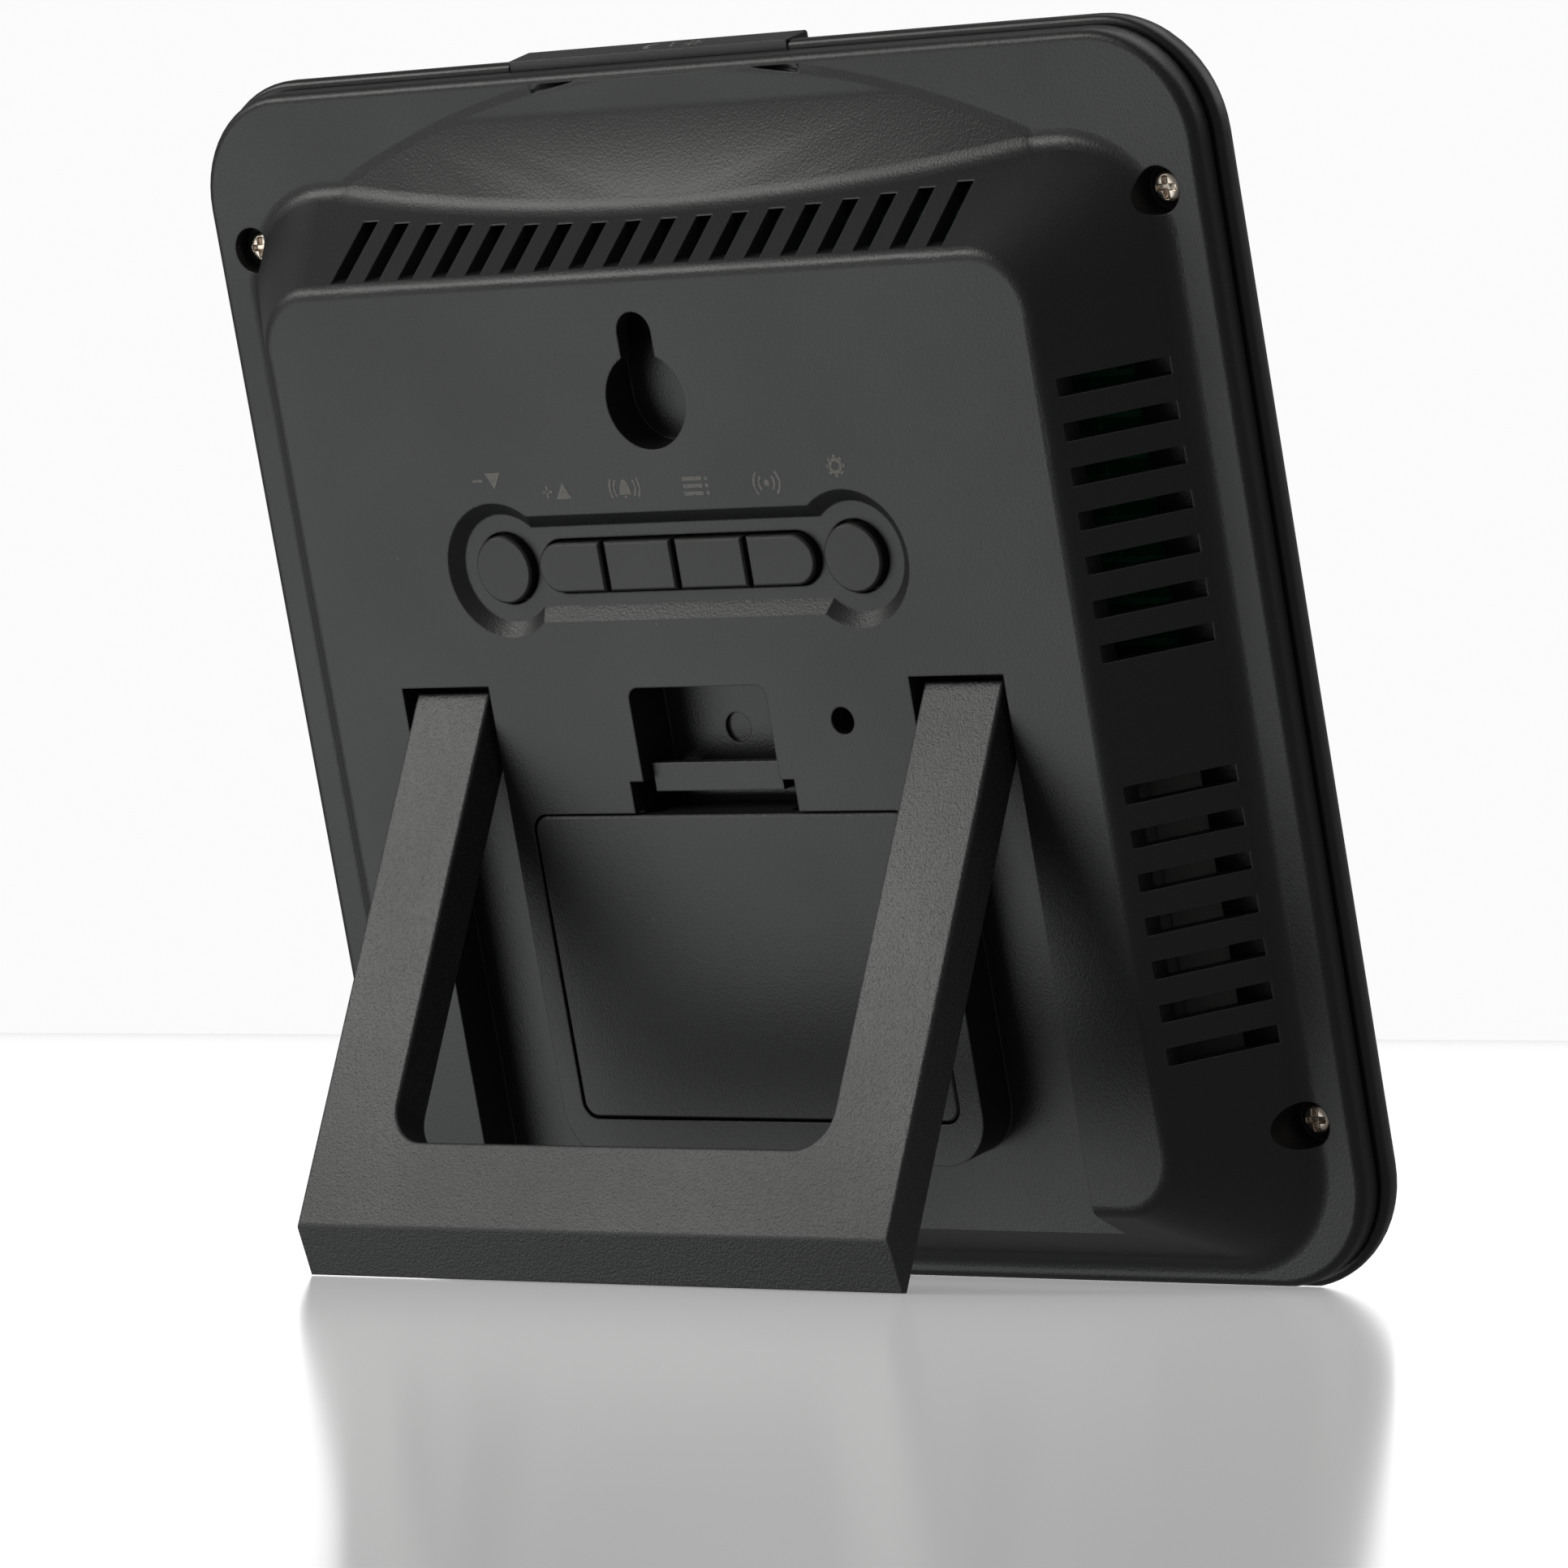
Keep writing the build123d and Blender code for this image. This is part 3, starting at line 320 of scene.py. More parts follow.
def segment_digit(digit, size, slant=0.08):
    """Strokes of a seven-segment digit of height 1 times size, centred, leaning a little."""
    segments = {
        "0": "abcdef",
        "1": "bc",
        "2": "abged",
        "4": "fgbc",
        "5": "afgcd",
        "6": "afgedc",
        "8": "abcdefg",
    }
    lit = segments[digit]
    w, h, gap = 0.24, 0.46, 0.045
    bars = {"a": ((-w, h), (w, h)), "g": ((-w, 0), (w, 0)), "d": ((-w, -h), (w, -h)), "b": ((w, h), (w, 0)),
            "c": ((w, 0), (w, -h)), "f": ((-w, h), (-w, 0)), "e": ((-w, 0), (-w, -h))}
    strokes = []
    for key in lit:
        a, b = (np.array(p, float) for p in bars[key])
        along = (b - a) / np.linalg.norm(b - a)
        path = line(a + along * gap, b - along * gap, 5) * size
        path[:, 0] += path[:, 1] * slant
        strokes.append((path, np.array([0.012, 0.042, 0.042, 0.042, 0.012]) * size))
    return strokes


def shifted(strokes, place):
    """Strokes moved by a place."""
    return [(path + np.asarray(place)[None], widths) for path, widths in strokes]


# ---- node trees


def add_node(tree, kind, inputs=(), **settings):
    """A node with its settings made and its inputs given as values or joined from other nodes' outputs."""
    node = tree.nodes.new(kind)
    for name, value in settings.items():
        setattr(node, name, value)
    for name, value in dict(inputs).items():
        socket = node.inputs[name]
        if isinstance(value, bpy.types.NodeSocket):
            tree.links.new(value, socket)
        else:
            socket.default_value = value
    return node


def maths(tree, operation, a, b=0.0, clamp=False):
    """A Math node's result."""
    return add_node(tree, "ShaderNodeMath", {0: a, 1: b}, operation=operation, use_clamp=clamp).outputs[0]


def blend(tree, factor, first, second):
    """A colour between two others by a factor."""
    inputs = {0: factor, 6: first, 7: second}
    return add_node(tree, "ShaderNodeMix", inputs, data_type="RGBA").outputs[2]


def object_place(tree):
    """Object coordinates."""
    return tree.nodes.new("ShaderNodeTexCoord").outputs["Object"]


def new_group(name, inputs, outputs):
    """A shader node group with its sockets; returns the tree, its input node and its output node."""
    tree = bpy.data.node_groups.new(name, "ShaderNodeTree")
    for label, kind, value in inputs:
        tree.interface.new_socket(label, in_out="INPUT", socket_type=kind).default_value = value
    for label, kind in outputs:
        tree.interface.new_socket(label, in_out="OUTPUT", socket_type=kind)
    return tree, tree.nodes.new("NodeGroupInput"), tree.nodes.new("NodeGroupOutput")


def grain_group():
    """Moulded grain: height is fine noise plus rounded pebbles; the second output marks the pebbles' high
    tops, which plastic() paints paler as a highlight.
    """
    if "Moulded grain" in bpy.data.node_groups:
        return bpy.data.node_groups["Moulded grain"]
    tree, given, out = new_group(
        "Moulded grain",
        [("Grains per metre", "NodeSocketFloat", 3000.0), ("Pebble", "NodeSocketFloat", 0.5)],
        [("Height", "NodeSocketFloat"), ("Grain highlight", "NodeSocketFloat")],
    )
    place = object_place(tree)
    noise = add_node(
        tree, "ShaderNodeTexNoise", {"Vector": place, "Scale": given.outputs[0], "Detail": 3.0}
    ).outputs[0]
    pebble = add_node(
        tree, "ShaderNodeTexVoronoi", {"Vector": place, "Scale": given.outputs[0]}, feature="SMOOTH_F1"
    ).outputs[0]
    mix = add_node(
        tree, "ShaderNodeMix", {0: given.outputs[1], 2: noise, 3: maths(tree, "SUBTRACT", 1.0, pebble)}
    )
    tree.links.new(mix.outputs[0], out.inputs[0])
    lit = add_node(
        tree, "ShaderNodeMapRange", {"Value": mix.outputs[0], "From Min": 0.55, "From Max": 0.8}
    ).outputs[0]
    tree.links.new(lit, out.inputs[1])
    return tree


def edge_group():
    """Rounded edges: the Bevel node's rounded normal, and a mask of how far it turns from the flat one, which
    plastic() uses to paint a highlight along the edges.
    """
    if "Soft edge" in bpy.data.node_groups:
        return bpy.data.node_groups["Soft edge"]
    tree, given, out = new_group(
        "Soft edge",
        [("Radius", "NodeSocketFloat", 0.0003)],
        [("Mask", "NodeSocketFloat"), ("Normal", "NodeSocketVector")],
    )
    bevel = add_node(tree, "ShaderNodeBevel", {"Radius": given.outputs[0]}, samples=4).outputs[0]
    flat = tree.nodes.new("ShaderNodeNewGeometry").outputs["Normal"]
    agree = add_node(
        tree, "ShaderNodeVectorMath", {0: bevel, 1: flat}, operation="DOT_PRODUCT"
    ).outputs["Value"]
    mask = add_node(
        tree, "ShaderNodeMapRange", {"Value": agree, "From Min": 0.995, "From Max": 0.86}
    ).outputs[0]
    tree.links.new(mask, out.inputs[0])
    tree.links.new(bevel, out.inputs[1])
    return tree


def handling_group():
    """Handling: broad patches where hands have polished the surface, and sparse pale dust specks."""
    if "Handling" in bpy.data.node_groups:
        return bpy.data.node_groups["Handling"]
    tree, given, out = new_group(
        "Handling",
        [("Patches per metre", "NodeSocketFloat", 22.0), ("Specks per metre", "NodeSocketFloat", 230.0)],
        [("Patches", "NodeSocketFloat"), ("Dust", "NodeSocketFloat")],
    )
    place = object_place(tree)
    broad = add_node(
        tree, "ShaderNodeTexNoise", {"Vector": place, "Scale": given.outputs[0], "Detail": 4.0}
    ).outputs[0]
    tree.links.new(broad, out.inputs[0])
    cells = add_node(tree, "ShaderNodeTexVoronoi", {"Vector": place, "Scale": given.outputs[1]})
    near = add_node(
        tree, "ShaderNodeMapRange", {"Value": cells.outputs["Distance"], "From Min": 0.05, "From Max": 0.03}
    )
    pick = add_node(tree, "ShaderNodeSeparateColor", {0: cells.outputs["Color"]}).outputs[0]
    few = maths(tree, "GREATER_THAN", pick, 0.93)
    tree.links.new(maths(tree, "MULTIPLY", near.outputs[0], few), out.inputs[1])
    return tree


def new_material(name):
    """An empty material with its Principled shader."""
    material = bpy.data.materials.new(name)
    material.use_nodes = True
    return material, material.node_tree, material.node_tree.nodes["Principled BSDF"]


def plastic(
    name, colour, grains, depth, roughness, painted_grain_highlight=0.0, pebble=0.5, edge=0.0003, painted_edge_highlight=0.03, dust=0.05
):
    """Moulded plastic: grained height, painted highlights on the grain's tops and along rounded edges, hand
    polish and a few dust specks.
    """
    material, tree, shader = new_material(name)
    grain = add_node(tree, "ShaderNodeGroup", node_tree=grain_group())
    grain.inputs[0].default_value, grain.inputs[1].default_value = grains, pebble
    wear_and_edge_highlight = add_node(tree, "ShaderNodeGroup", node_tree=edge_group())
    wear_and_edge_highlight.inputs[0].default_value = edge
    handled = add_node(tree, "ShaderNodeGroup", node_tree=handling_group())
    base = (*colour, 1.0)
    # painted highlight: the high tops of the grain's pebbles are made paler, standing in for light caught by
    # the raised grain
    paler = tuple(min(1.0, c + painted_grain_highlight) for c in colour) + (1.0,)
    grain_tops_highlighted = blend(tree, grain.outputs["Grain highlight"], base, paler)
    # painted highlight: the colour is made paler along rounded edges, where the Bevel normal turns, standing
    # in for light caught by the edges
    edge_highlight_colour = tuple(min(1.0, c + painted_edge_highlight) for c in colour) + (1.0,)
    with_edge_highlight = blend(tree, wear_and_edge_highlight.outputs["Mask"], grain_tops_highlighted, edge_highlight_colour)
    dusted = tuple(min(1.0, c + dust) for c in colour) + (1.0,)
    finish = blend(tree, handled.outputs["Dust"], with_edge_highlight, dusted)
    tree.links.new(finish, shader.inputs["Base Color"])
    rough = add_node(
        tree,
        "ShaderNodeMapRange",
        {
            "Value": handled.outputs["Patches"],
            "From Min": 0.3,
            "From Max": 0.7,
            "To Min": roughness - 0.04,
            "To Max": roughness + 0.04,
        },
    )
    tree.links.new(rough.outputs[0], shader.inputs["Roughness"])
    bump = add_node(
        tree,
        "ShaderNodeBump",
        {
            "Height": grain.outputs["Height"],
            "Distance": depth,
            "Strength": 1.0,
            "Normal": wear_and_edge_highlight.outputs["Normal"],
        },
    )
    tree.links.new(bump.outputs[0], shader.inputs["Normal"])
    return material


def metal(name, colour, roughness, streaks, depth):
    """Plated metal: bright, with fine streaks and a little uneven tarnish."""
    material, tree, shader = new_material(name)
    place = object_place(tree)
    stretched = add_node(tree, "ShaderNodeMapping", {"Vector": place, "Scale": (1.0, 0.15, 1.0)}).outputs[0]
    lines = add_node(
        tree, "ShaderNodeTexNoise", {"Vector": stretched, "Scale": streaks, "Detail": 4.0}
    ).outputs[0]
    darker = tuple(c * 0.7 for c in colour) + (1.0,)
    shade = blend(tree, lines, darker, (*colour, 1.0))
    tree.links.new(shade, shader.inputs["Base Color"])
    shader.inputs["Metallic"].default_value = 1.0
    rough = add_node(
        tree, "ShaderNodeMapRange", {"Value": lines, "To Min": roughness - 0.08, "To Max": roughness + 0.1}
    ).outputs[0]
    tree.links.new(rough, shader.inputs["Roughness"])
    wear_and_edge_highlight = add_node(tree, "ShaderNodeGroup", node_tree=edge_group())
    wear_and_edge_highlight.inputs[0].default_value = 0.0001
    bump = add_node(
        tree, "ShaderNodeBump", {
            "Height": lines, "Distance": depth, "Strength": 0.5, "Normal": wear_and_edge_highlight.outputs["Normal"]
        }
    )
    tree.links.new(bump.outputs[0], shader.inputs["Normal"])
    return material


def printed_ink(name, colour):
    """Pad-printed ink: slightly uneven, a little worn where it thins."""
    material, tree, shader = new_material(name)
    place = object_place(tree)
    thin = add_node(
        tree, "ShaderNodeTexNoise", {"Vector": place, "Scale": 2600.0, "Detail": 3.0}
    ).outputs[0]
    wear_and_edge_highlight = add_node(
        tree, "ShaderNodeMapRange", {"Value": thin, "From Min": 0.32, "From Max": 0.5}
    ).outputs[0]
    faded = tuple(c * 0.55 for c in colour) + (1.0,)
    shade = blend(tree, wear_and_edge_highlight, faded, (*colour, 1.0))
    tree.links.new(shade, shader.inputs["Base Color"])
    rough = add_node(tree, "ShaderNodeMapRange", {"Value": thin, "To Min": 0.5, "To Max": 0.7}).outputs[0]
    tree.links.new(rough, shader.inputs["Roughness"])
    bump = add_node(tree, "ShaderNodeBump", {"Height": thin, "Distance": 0.00002})
    tree.links.new(bump.outputs[0], shader.inputs["Normal"])
    return material


def solder_mask(name, colour):
    """A board: green mask over runs of copper, which show paler and stand a little proud."""
    material, tree, shader = new_material(name)
    place = object_place(tree)
    turned = add_node(
        tree, "ShaderNodeMapping", {"Vector": place, "Rotation": (-0.283, 0.0, 0.0)}
    ).outputs[0]
    runs = add_node(
        tree,
        "ShaderNodeTexBrick",
        {
            "Vector": turned,
            "Scale": 260.0,
            "Mortar Size": 0.06,
            "Mortar Smooth": 0.2,
            "Brick Width": 1.7,
            "Row Height": 0.35,
        },
    ).outputs["Fac"]
    paler = tuple(min(1.0, c * 1.8 + 0.02) for c in colour) + (1.0,)
    shade = blend(tree, runs, (*colour, 1.0), paler)
    tree.links.new(shade, shader.inputs["Base Color"])
    mottled = add_node(
        tree, "ShaderNodeTexNoise", {"Vector": place, "Scale": 400.0, "Detail": 3.0}
    ).outputs[0]
    rough = add_node(
        tree, "ShaderNodeMapRange", {"Value": mottled, "To Min": 0.2, "To Max": 0.36}
    ).outputs[0]
    tree.links.new(rough, shader.inputs["Roughness"])
    bump = add_node(tree, "ShaderNodeBump", {"Height": runs, "Distance": 0.00004, "Strength": 0.6})
    tree.links.new(bump.outputs[0], shader.inputs["Normal"])
    return material


def cell_sleeve(name, half_length):
    """A cell's printed sleeve: dark, with a pale band near each end and bare metal at the ends themselves."""
    material, tree, shader = new_material(name)
    place = object_place(tree)
    across = add_node(tree, "ShaderNodeSeparateXYZ", {0: place}).outputs[0]
    share = maths(tree, "DIVIDE", maths(tree, "ABSOLUTE", across), half_length)
    band = maths(
        tree, "MULTIPLY", maths(tree, "GREATER_THAN", share, 0.72), maths(tree, "LESS_THAN", share, 0.84)
    )
    bare = maths(tree, "GREATER_THAN", share, 0.955)
    mottled = add_node(
        tree, "ShaderNodeTexNoise", {"Vector": place, "Scale": 500.0, "Detail": 4.0}
    ).outputs[0]
    deep = blend(tree, mottled, (0.02, 0.1, 0.13, 1.0), (0.03, 0.14, 0.17, 1.0))
    banded = blend(tree, band, deep, (0.55, 0.53, 0.48, 1.0))
    ended = blend(tree, bare, banded, (0.7, 0.69, 0.66, 1.0))
    tree.links.new(ended, shader.inputs["Base Color"])
    tree.links.new(bare, shader.inputs["Metallic"])
    rough = add_node(
        tree, "ShaderNodeMapRange", {"Value": mottled, "To Min": 0.22, "To Max": 0.34}
    ).outputs[0]
    tree.links.new(rough, shader.inputs["Roughness"])
    bump = add_node(tree, "ShaderNodeBump", {"Height": mottled, "Distance": 0.00002})
    tree.links.new(bump.outputs[0], shader.inputs["Normal"])
    return material


def clear_lens(name):
    """Smoked clear plastic: polished, with the faintest waviness."""
    material, tree, shader = new_material(name)
    place = object_place(tree)
    wave = add_node(tree, "ShaderNodeTexNoise", {"Vector": place, "Scale": 60.0, "Detail": 2.0}).outputs[0]
    tint = blend(tree, wave, (0.5, 0.51, 0.53, 1.0), (0.56, 0.57, 0.58, 1.0))
    tree.links.new(tint, shader.inputs["Base Color"])
    shader.inputs["Transmission Weight"].default_value = 1.0
    shader.inputs["IOR"].default_value = 1.49
    rough = add_node(tree, "ShaderNodeMapRange", {"Value": wave, "To Min": 0.01, "To Max": 0.03}).outputs[0]
    tree.links.new(rough, shader.inputs["Roughness"])
    bump = add_node(tree, "ShaderNodeBump", {"Height": wave, "Distance": 0.00002, "Strength": 0.3})
    tree.links.new(bump.outputs[0], shader.inputs["Normal"])
    return material


def lit_segments(name, colour):
    """Lit display segments: an even glow with a trace of unevenness from the lamps below."""
    material, tree, shader = new_material(name)
    place = object_place(tree)
    uneven = add_node(tree, "ShaderNodeTexNoise", {"Vector": place, "Scale": 35.0}).outputs[0]
    dim = tuple(c * 0.8 for c in colour) + (1.0,)
    glow = blend(tree, uneven, dim, (*colour, 1.0))
    tree.links.new(glow, shader.inputs["Base Color"])
    tree.links.new(glow, shader.inputs["Emission Color"])
    shader.inputs["Emission Strength"].default_value = 1.4
    shader.inputs["Roughness"].default_value = 0.4
    return material


def give(material, *names):
    """Gives a material to carried-over nodes, through their objects' slots."""
    for name in names:
        for slot in NODES[name].material_slots:
            slot.material = material


# ---- settings a user would change


def colour_setting(name, description, default):
    """A colour property."""
    return bpy.props.FloatVectorProperty(
        name=name, description=description, default=default, size=3, min=0.0, max=1.0, subtype="COLOR"
    )


def length_setting(name, description, default):
    """A length property, in metres."""
    return bpy.props.FloatProperty(
        name=name,
        description=description,
        default=default,
        min=0.0,
        unit="LENGTH",
        subtype="DISTANCE",
        precision=5,
    )


class ClockColours(bpy.types.PropertyGroup):
    """Colours of the clock's plastics, prints and metals."""

    case: colour_setting("Case", "Moulded case and battery door", (0.0125, 0.0135, 0.0135))
    bezel: colour_setting("Bezel", "Front bezel and snooze bar", (0.009, 0.009, 0.0095))
    stand: colour_setting("Stand", "Folding stand", (0.021, 0.022, 0.0225))
    keys: colour_setting("Keys", "Rear keys", (0.012, 0.0125, 0.0125))
    prints: colour_setting("Prints", "Marks printed over the keys", (0.19, 0.18, 0.165))
    screws: colour_setting("Screws", "Case screws", (0.78, 0.68, 0.58))
    board: colour_setting("Boards", "Solder mask on the boards", (0.015, 0.11, 0.045))
    digits: colour_setting("Digits", "Lit segments of the display", (0.75, 0.95, 1.0))


class ClockSizes(bpy.types.PropertyGroup):
    """Sizes of the clock's small pieces."""

    mark_height: length_setting("Mark height", "Height of the marks over the keys", 2.3 * MM)
    mark_line: length_setting("Mark line", "Width of a printed line", 0.34 * MM)
    mark_thickness: length_setting("Mark thickness", "Thickness of the printed ink", 0.03 * MM)
    spring_wire: length_setting("Spring wire", "Wire diameter of the battery springs", 0.5 * MM)
    spring_turns: bpy.props.FloatProperty(
        name="Spring turns", description="Turns of each spring", default=4.5, min=1.0
    )
    digit_height: length_setting("Digit height", "Height of the time digits", 34 * MM)


class ClockStage(bpy.types.PropertyGroup):
    """Floor, lights and camera."""

    floor: colour_setting("Floor", "Colour of the floor", (0.9, 0.9, 0.9))
    light: bpy.props.FloatProperty(
        name="Light", description="Strength of all lights together", default=1.0, min=0.0
    )
    lens: bpy.props.FloatProperty(
        name="Lens", description="Focal length on a 36 mm sensor, in millimetres", default=193.9, min=1.0
    )
    distance: length_setting("Distance", "From the camera to the point it looks at", 1.0379)
    azimuth: bpy.props.FloatProperty(
        name="Azimuth",
        description="Turn of the camera round the clock",
        default=math.radians(217.86),
        subtype="ANGLE",
    )
    elevation: bpy.props.FloatProperty(
        name="Elevation",
        description="How far the camera stands above the point it looks at",
        default=math.radians(-1.43),
        subtype="ANGLE",
    )
    roll: bpy.props.FloatProperty(
        name="Roll",
        description="Turn of the camera about its own line of sight",
        default=math.radians(0.29),
        subtype="ANGLE",
    )
    aim: bpy.props.FloatVectorProperty(
        name="Aim",
        description="Point the camera looks at",
        default=(0.0, -0.0064, 0.0605),
        size=3,
        subtype="XYZ",
        unit="LENGTH",
    )


class CLOCK_OT_case(bpy.types.Operator):
    """Gives the case, bezel, battery door and stand their moulded plastics."""

    bl_idname = "clock.case"
    bl_label = "Case plastics"
    bl_options = {"REGISTER", "UNDO"}

    def execute(self, context):
        colours = context.scene.clock_colours
        give(
            plastic("case_grain", colours.case, 3300.0, 0.00004, 0.4, painted_grain_highlight=0.006),
            "rear_cover",
            "battery_door",
        )
        give(
            plastic("bezel_satin", colours.bezel, 4200.0, 0.00002, 0.34, painted_grain_highlight=0.003),
            "front_bezel",
            "snooze_bar",
        )
        give(
            plastic(
                "stand_grain",
                colours.stand,
                3600.0,
                0.00007,
                0.42,
                painted_grain_highlight=0.03,
                pebble=0.6,
                edge=0.0004,
                painted_edge_highlight=0.05,
            ),
            "stand",
        )
        return {"FINISHED"}


class CLOCK_OT_keys(bpy.types.Operator):
    """Gives the rear keys their smooth satin plastic."""

    bl_idname = "clock.keys"
    bl_label = "Key plastic"
    bl_options = {"REGISTER", "UNDO"}

    def execute(self, context):
        colours = context.scene.clock_colours
        satin = plastic("key_satin", colours.keys, 5200.0, 0.00002, 0.42, painted_grain_highlight=0.003)
        give(
            satin,
            "down_button",
            "up_button",
            "alarm_button",
            "memory_button",
            "channel_button",
            "set_button",
        )
        return {"FINISHED"}


class CLOCK_OT_key_marks(bpy.types.Operator):
    """Prints a plain mark over each key: down, up, alarm, memory, channel and settings."""

    bl_idname = "clock.key_marks"
    bl_label = "Marks over the keys"
    bl_options = {"REGISTER", "UNDO"}

    def execute(self, context):
        colours = context.scene.clock_colours
        sizes = context.scene.clock_sizes
        ink = printed_ink("pale_ink", colours.prints)
        level = panel_box("rear_cover")[1][2]
        size, half = sizes.mark_height, sizes.mark_line / 2
        over_round, over_bar = 11.35 * MM, 9.65 * MM
        marks = [
            ("down_button", "mark_down", over_round, triangle_mark(size * 0.92, -1)),
            ("up_button", "mark_up", over_bar, triangle_mark(size * 0.92, 1)),
            ("alarm_button", "mark_alarm", over_bar, bell_mark(size, half)),
            ("memory_button", "mark_memory", over_bar, memory_mark(size)),
            ("channel_button", "mark_channel", over_bar, waves_mark(size * 1.25, half)),
            ("set_button", "mark_settings", over_round, gear_mark(size * 1.15)),
        ]
        for key, name, lift, strokes in marks:
            low, high = panel_box(key)
            place = ((low[0] + high[0]) / 2, (low[1] + high[1]) / 2 + lift)
            points, faces = print_marks(strokes, place, level, sizes.mark_thickness)
            recalculate(make_piece(name, to_row(points), faces, ink, "case"))
        return {"FINISHED"}


class CLOCK_OT_bar_marks(bpy.types.Operator):
    """Prints a sun and a crescent on the snooze bar's top."""

    bl_idname = "clock.bar_marks"
    bl_label = "Marks on the snooze bar"
    bl_options = {"REGISTER", "UNDO"}

    def execute(self, context):
        colours = context.scene.clock_colours
        sizes = context.scene.clock_sizes
        ink = printed_ink("bar_ink", colours.prints)
        points = node_points("snooze_bar") @ PANEL.T
        low, high = points.min(0), points.max(0)
        rear_top = points[points[:, 2] > high[2] - 0.02 * MM][:, 1].max()
        front_top = high[1]
        front_at = points[points[:, 1] > front_top - 0.02 * MM][:, 2].mean()
        slope = (front_top - rear_top) / (high[2] - front_at)
        middle = ((low[0] + high[0]) / 2 + 2.6 * MM, (low[2] + high[2]) / 2 + 0.2 * MM)
        size, half = 1.5 * MM, 0.13 * MM
        sun = [(arc((0.0, 0.0), 0.42 * size, 0, 360, 33), half)]
        for turn in np.radians(np.arange(8) * 45.0):
            way = np.array([math.cos(turn), math.sin(turn)]) * size
            sun.append((line(way * 0.62, way * 0.92), half))
        moon_path = arc((0.0, 0.0), 0.62 * size, 60, 300, 25)
        moon = [(moon_path, 0.02 * size + 0.2 * size * np.sin(np.linspace(0.0, math.pi, 25)))]
        slash = [(line((-0.35 * size, -0.8 * size), (0.35 * size, 0.8 * size)), half)]
        strokes = shifted(sun, (3.4 * MM, 0.0)) + shifted(slash, (0.0, 0.0)) + shifted(moon, (-3.0 * MM, 0.0))
        flat_points, faces = print_marks(strokes, middle, 0.0, sizes.mark_thickness)
        across, depth, lift = flat_points.T
        height = rear_top + (high[2] - depth) * slope + lift
        placed = to_row(np.stack([across, height, depth], 1))
        recalculate(make_piece("bar_marks", placed, faces, ink, "snooze_bar"))
        return {"FINISHED"}


class CLOCK_OT_screws(bpy.types.Operator):
    """Makes the four case screws with crossed, domed heads and threaded shanks."""

    bl_idname = "clock.screws"
    bl_label = "Case screws"
    bl_options = {"REGISTER", "UNDO"}

    def execute(self, context):
        colours = context.scene.clock_colours
        finish = metal("warm_nickel", colours.screws, 0.24, 900.0, 0.00002)
        points = node_points("case_screws") @ PANEL.T
        low, high = points.min(0), points.max(0)
        shank_radius = 1.18 * MM
        head_height = 1.3 * MM
        parts = []
        for left in (True, False):
            for lower in (True, False):
                own = points[
                    ((points[:, 0] < 0) == left) & ((points[:, 1] < (low[1] + high[1]) / 2) == lower)
                ]
                box_low, box_high = own.min(0), own.max(0)
                centre = (box_low + box_high) / 2
                radius = (box_high[0] - box_low[0]) / 2
                top = box_high[2]
                parts.append(screw_surface(centre, radius, shank_radius, top, top - head_height, box_low[2]))
        points, faces = join_parts(parts)
        piece = make_piece("screws", to_row(points), faces, finish, "case", smooth=True)
        recalculate(piece)
        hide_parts("case_screws")
        return {"FINISHED"}


class CLOCK_OT_springs(bpy.types.Operator):
    """Winds the three conical battery springs."""

    bl_idname = "clock.springs"
    bl_label = "Battery springs"
    bl_options = {"REGISTER", "UNDO"}

    def execute(self, context):
        sizes = context.scene.clock_sizes
        finish = metal("spring_nickel", (0.75, 0.74, 0.72), 0.2, 1500.0, 0.00001)
        points = node_points("contact_springs") @ PANEL.T
        parts = []
        for cell in ("lower_cell", "middle_cell", "upper_cell"):
            low, high = panel_box(cell)
            centre = (low + high) / 2
            own = points[np.abs(points[:, 1] - centre[1]) < 5 * MM]
            way = np.sign(own[:, 0].mean())
            near, far = np.abs(own[:, 0]).min(), np.abs(own[:, 0]).max()
            start = np.array([way * far, centre[1], centre[2]])
            end = np.array([way * near, centre[1], centre[2]])
            wire = sizes.spring_wire
            parts.append(helix_tube(start, end, 3.1 * MM, 1.7 * MM, sizes.spring_turns, wire))
        points, faces = join_parts(parts)
        piece = make_piece("battery_springs", to_row(points), faces, finish, "case", smooth=True)
        recalculate(piece)
        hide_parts("contact_springs")
        return {"FINISHED"}


class CLOCK_OT_metals(bpy.types.Operator):
    """Gives the contact plates, screws and switches their plated finish."""

    bl_idname = "clock.metals"
    bl_label = "Plated metals"
    bl_options = {"REGISTER", "UNDO"}

    def execute(self, context):
        give(metal("plate_nickel", (0.72, 0.7, 0.67), 0.28, 700.0, 0.00002), "contact_plates")
        give(
            metal("zinc_steel", (0.5, 0.5, 0.5), 0.36, 600.0, 0.00003),
            "key_board_screws",
            "board_screws",
            "key_switches",
        )
        return {"FINISHED"}


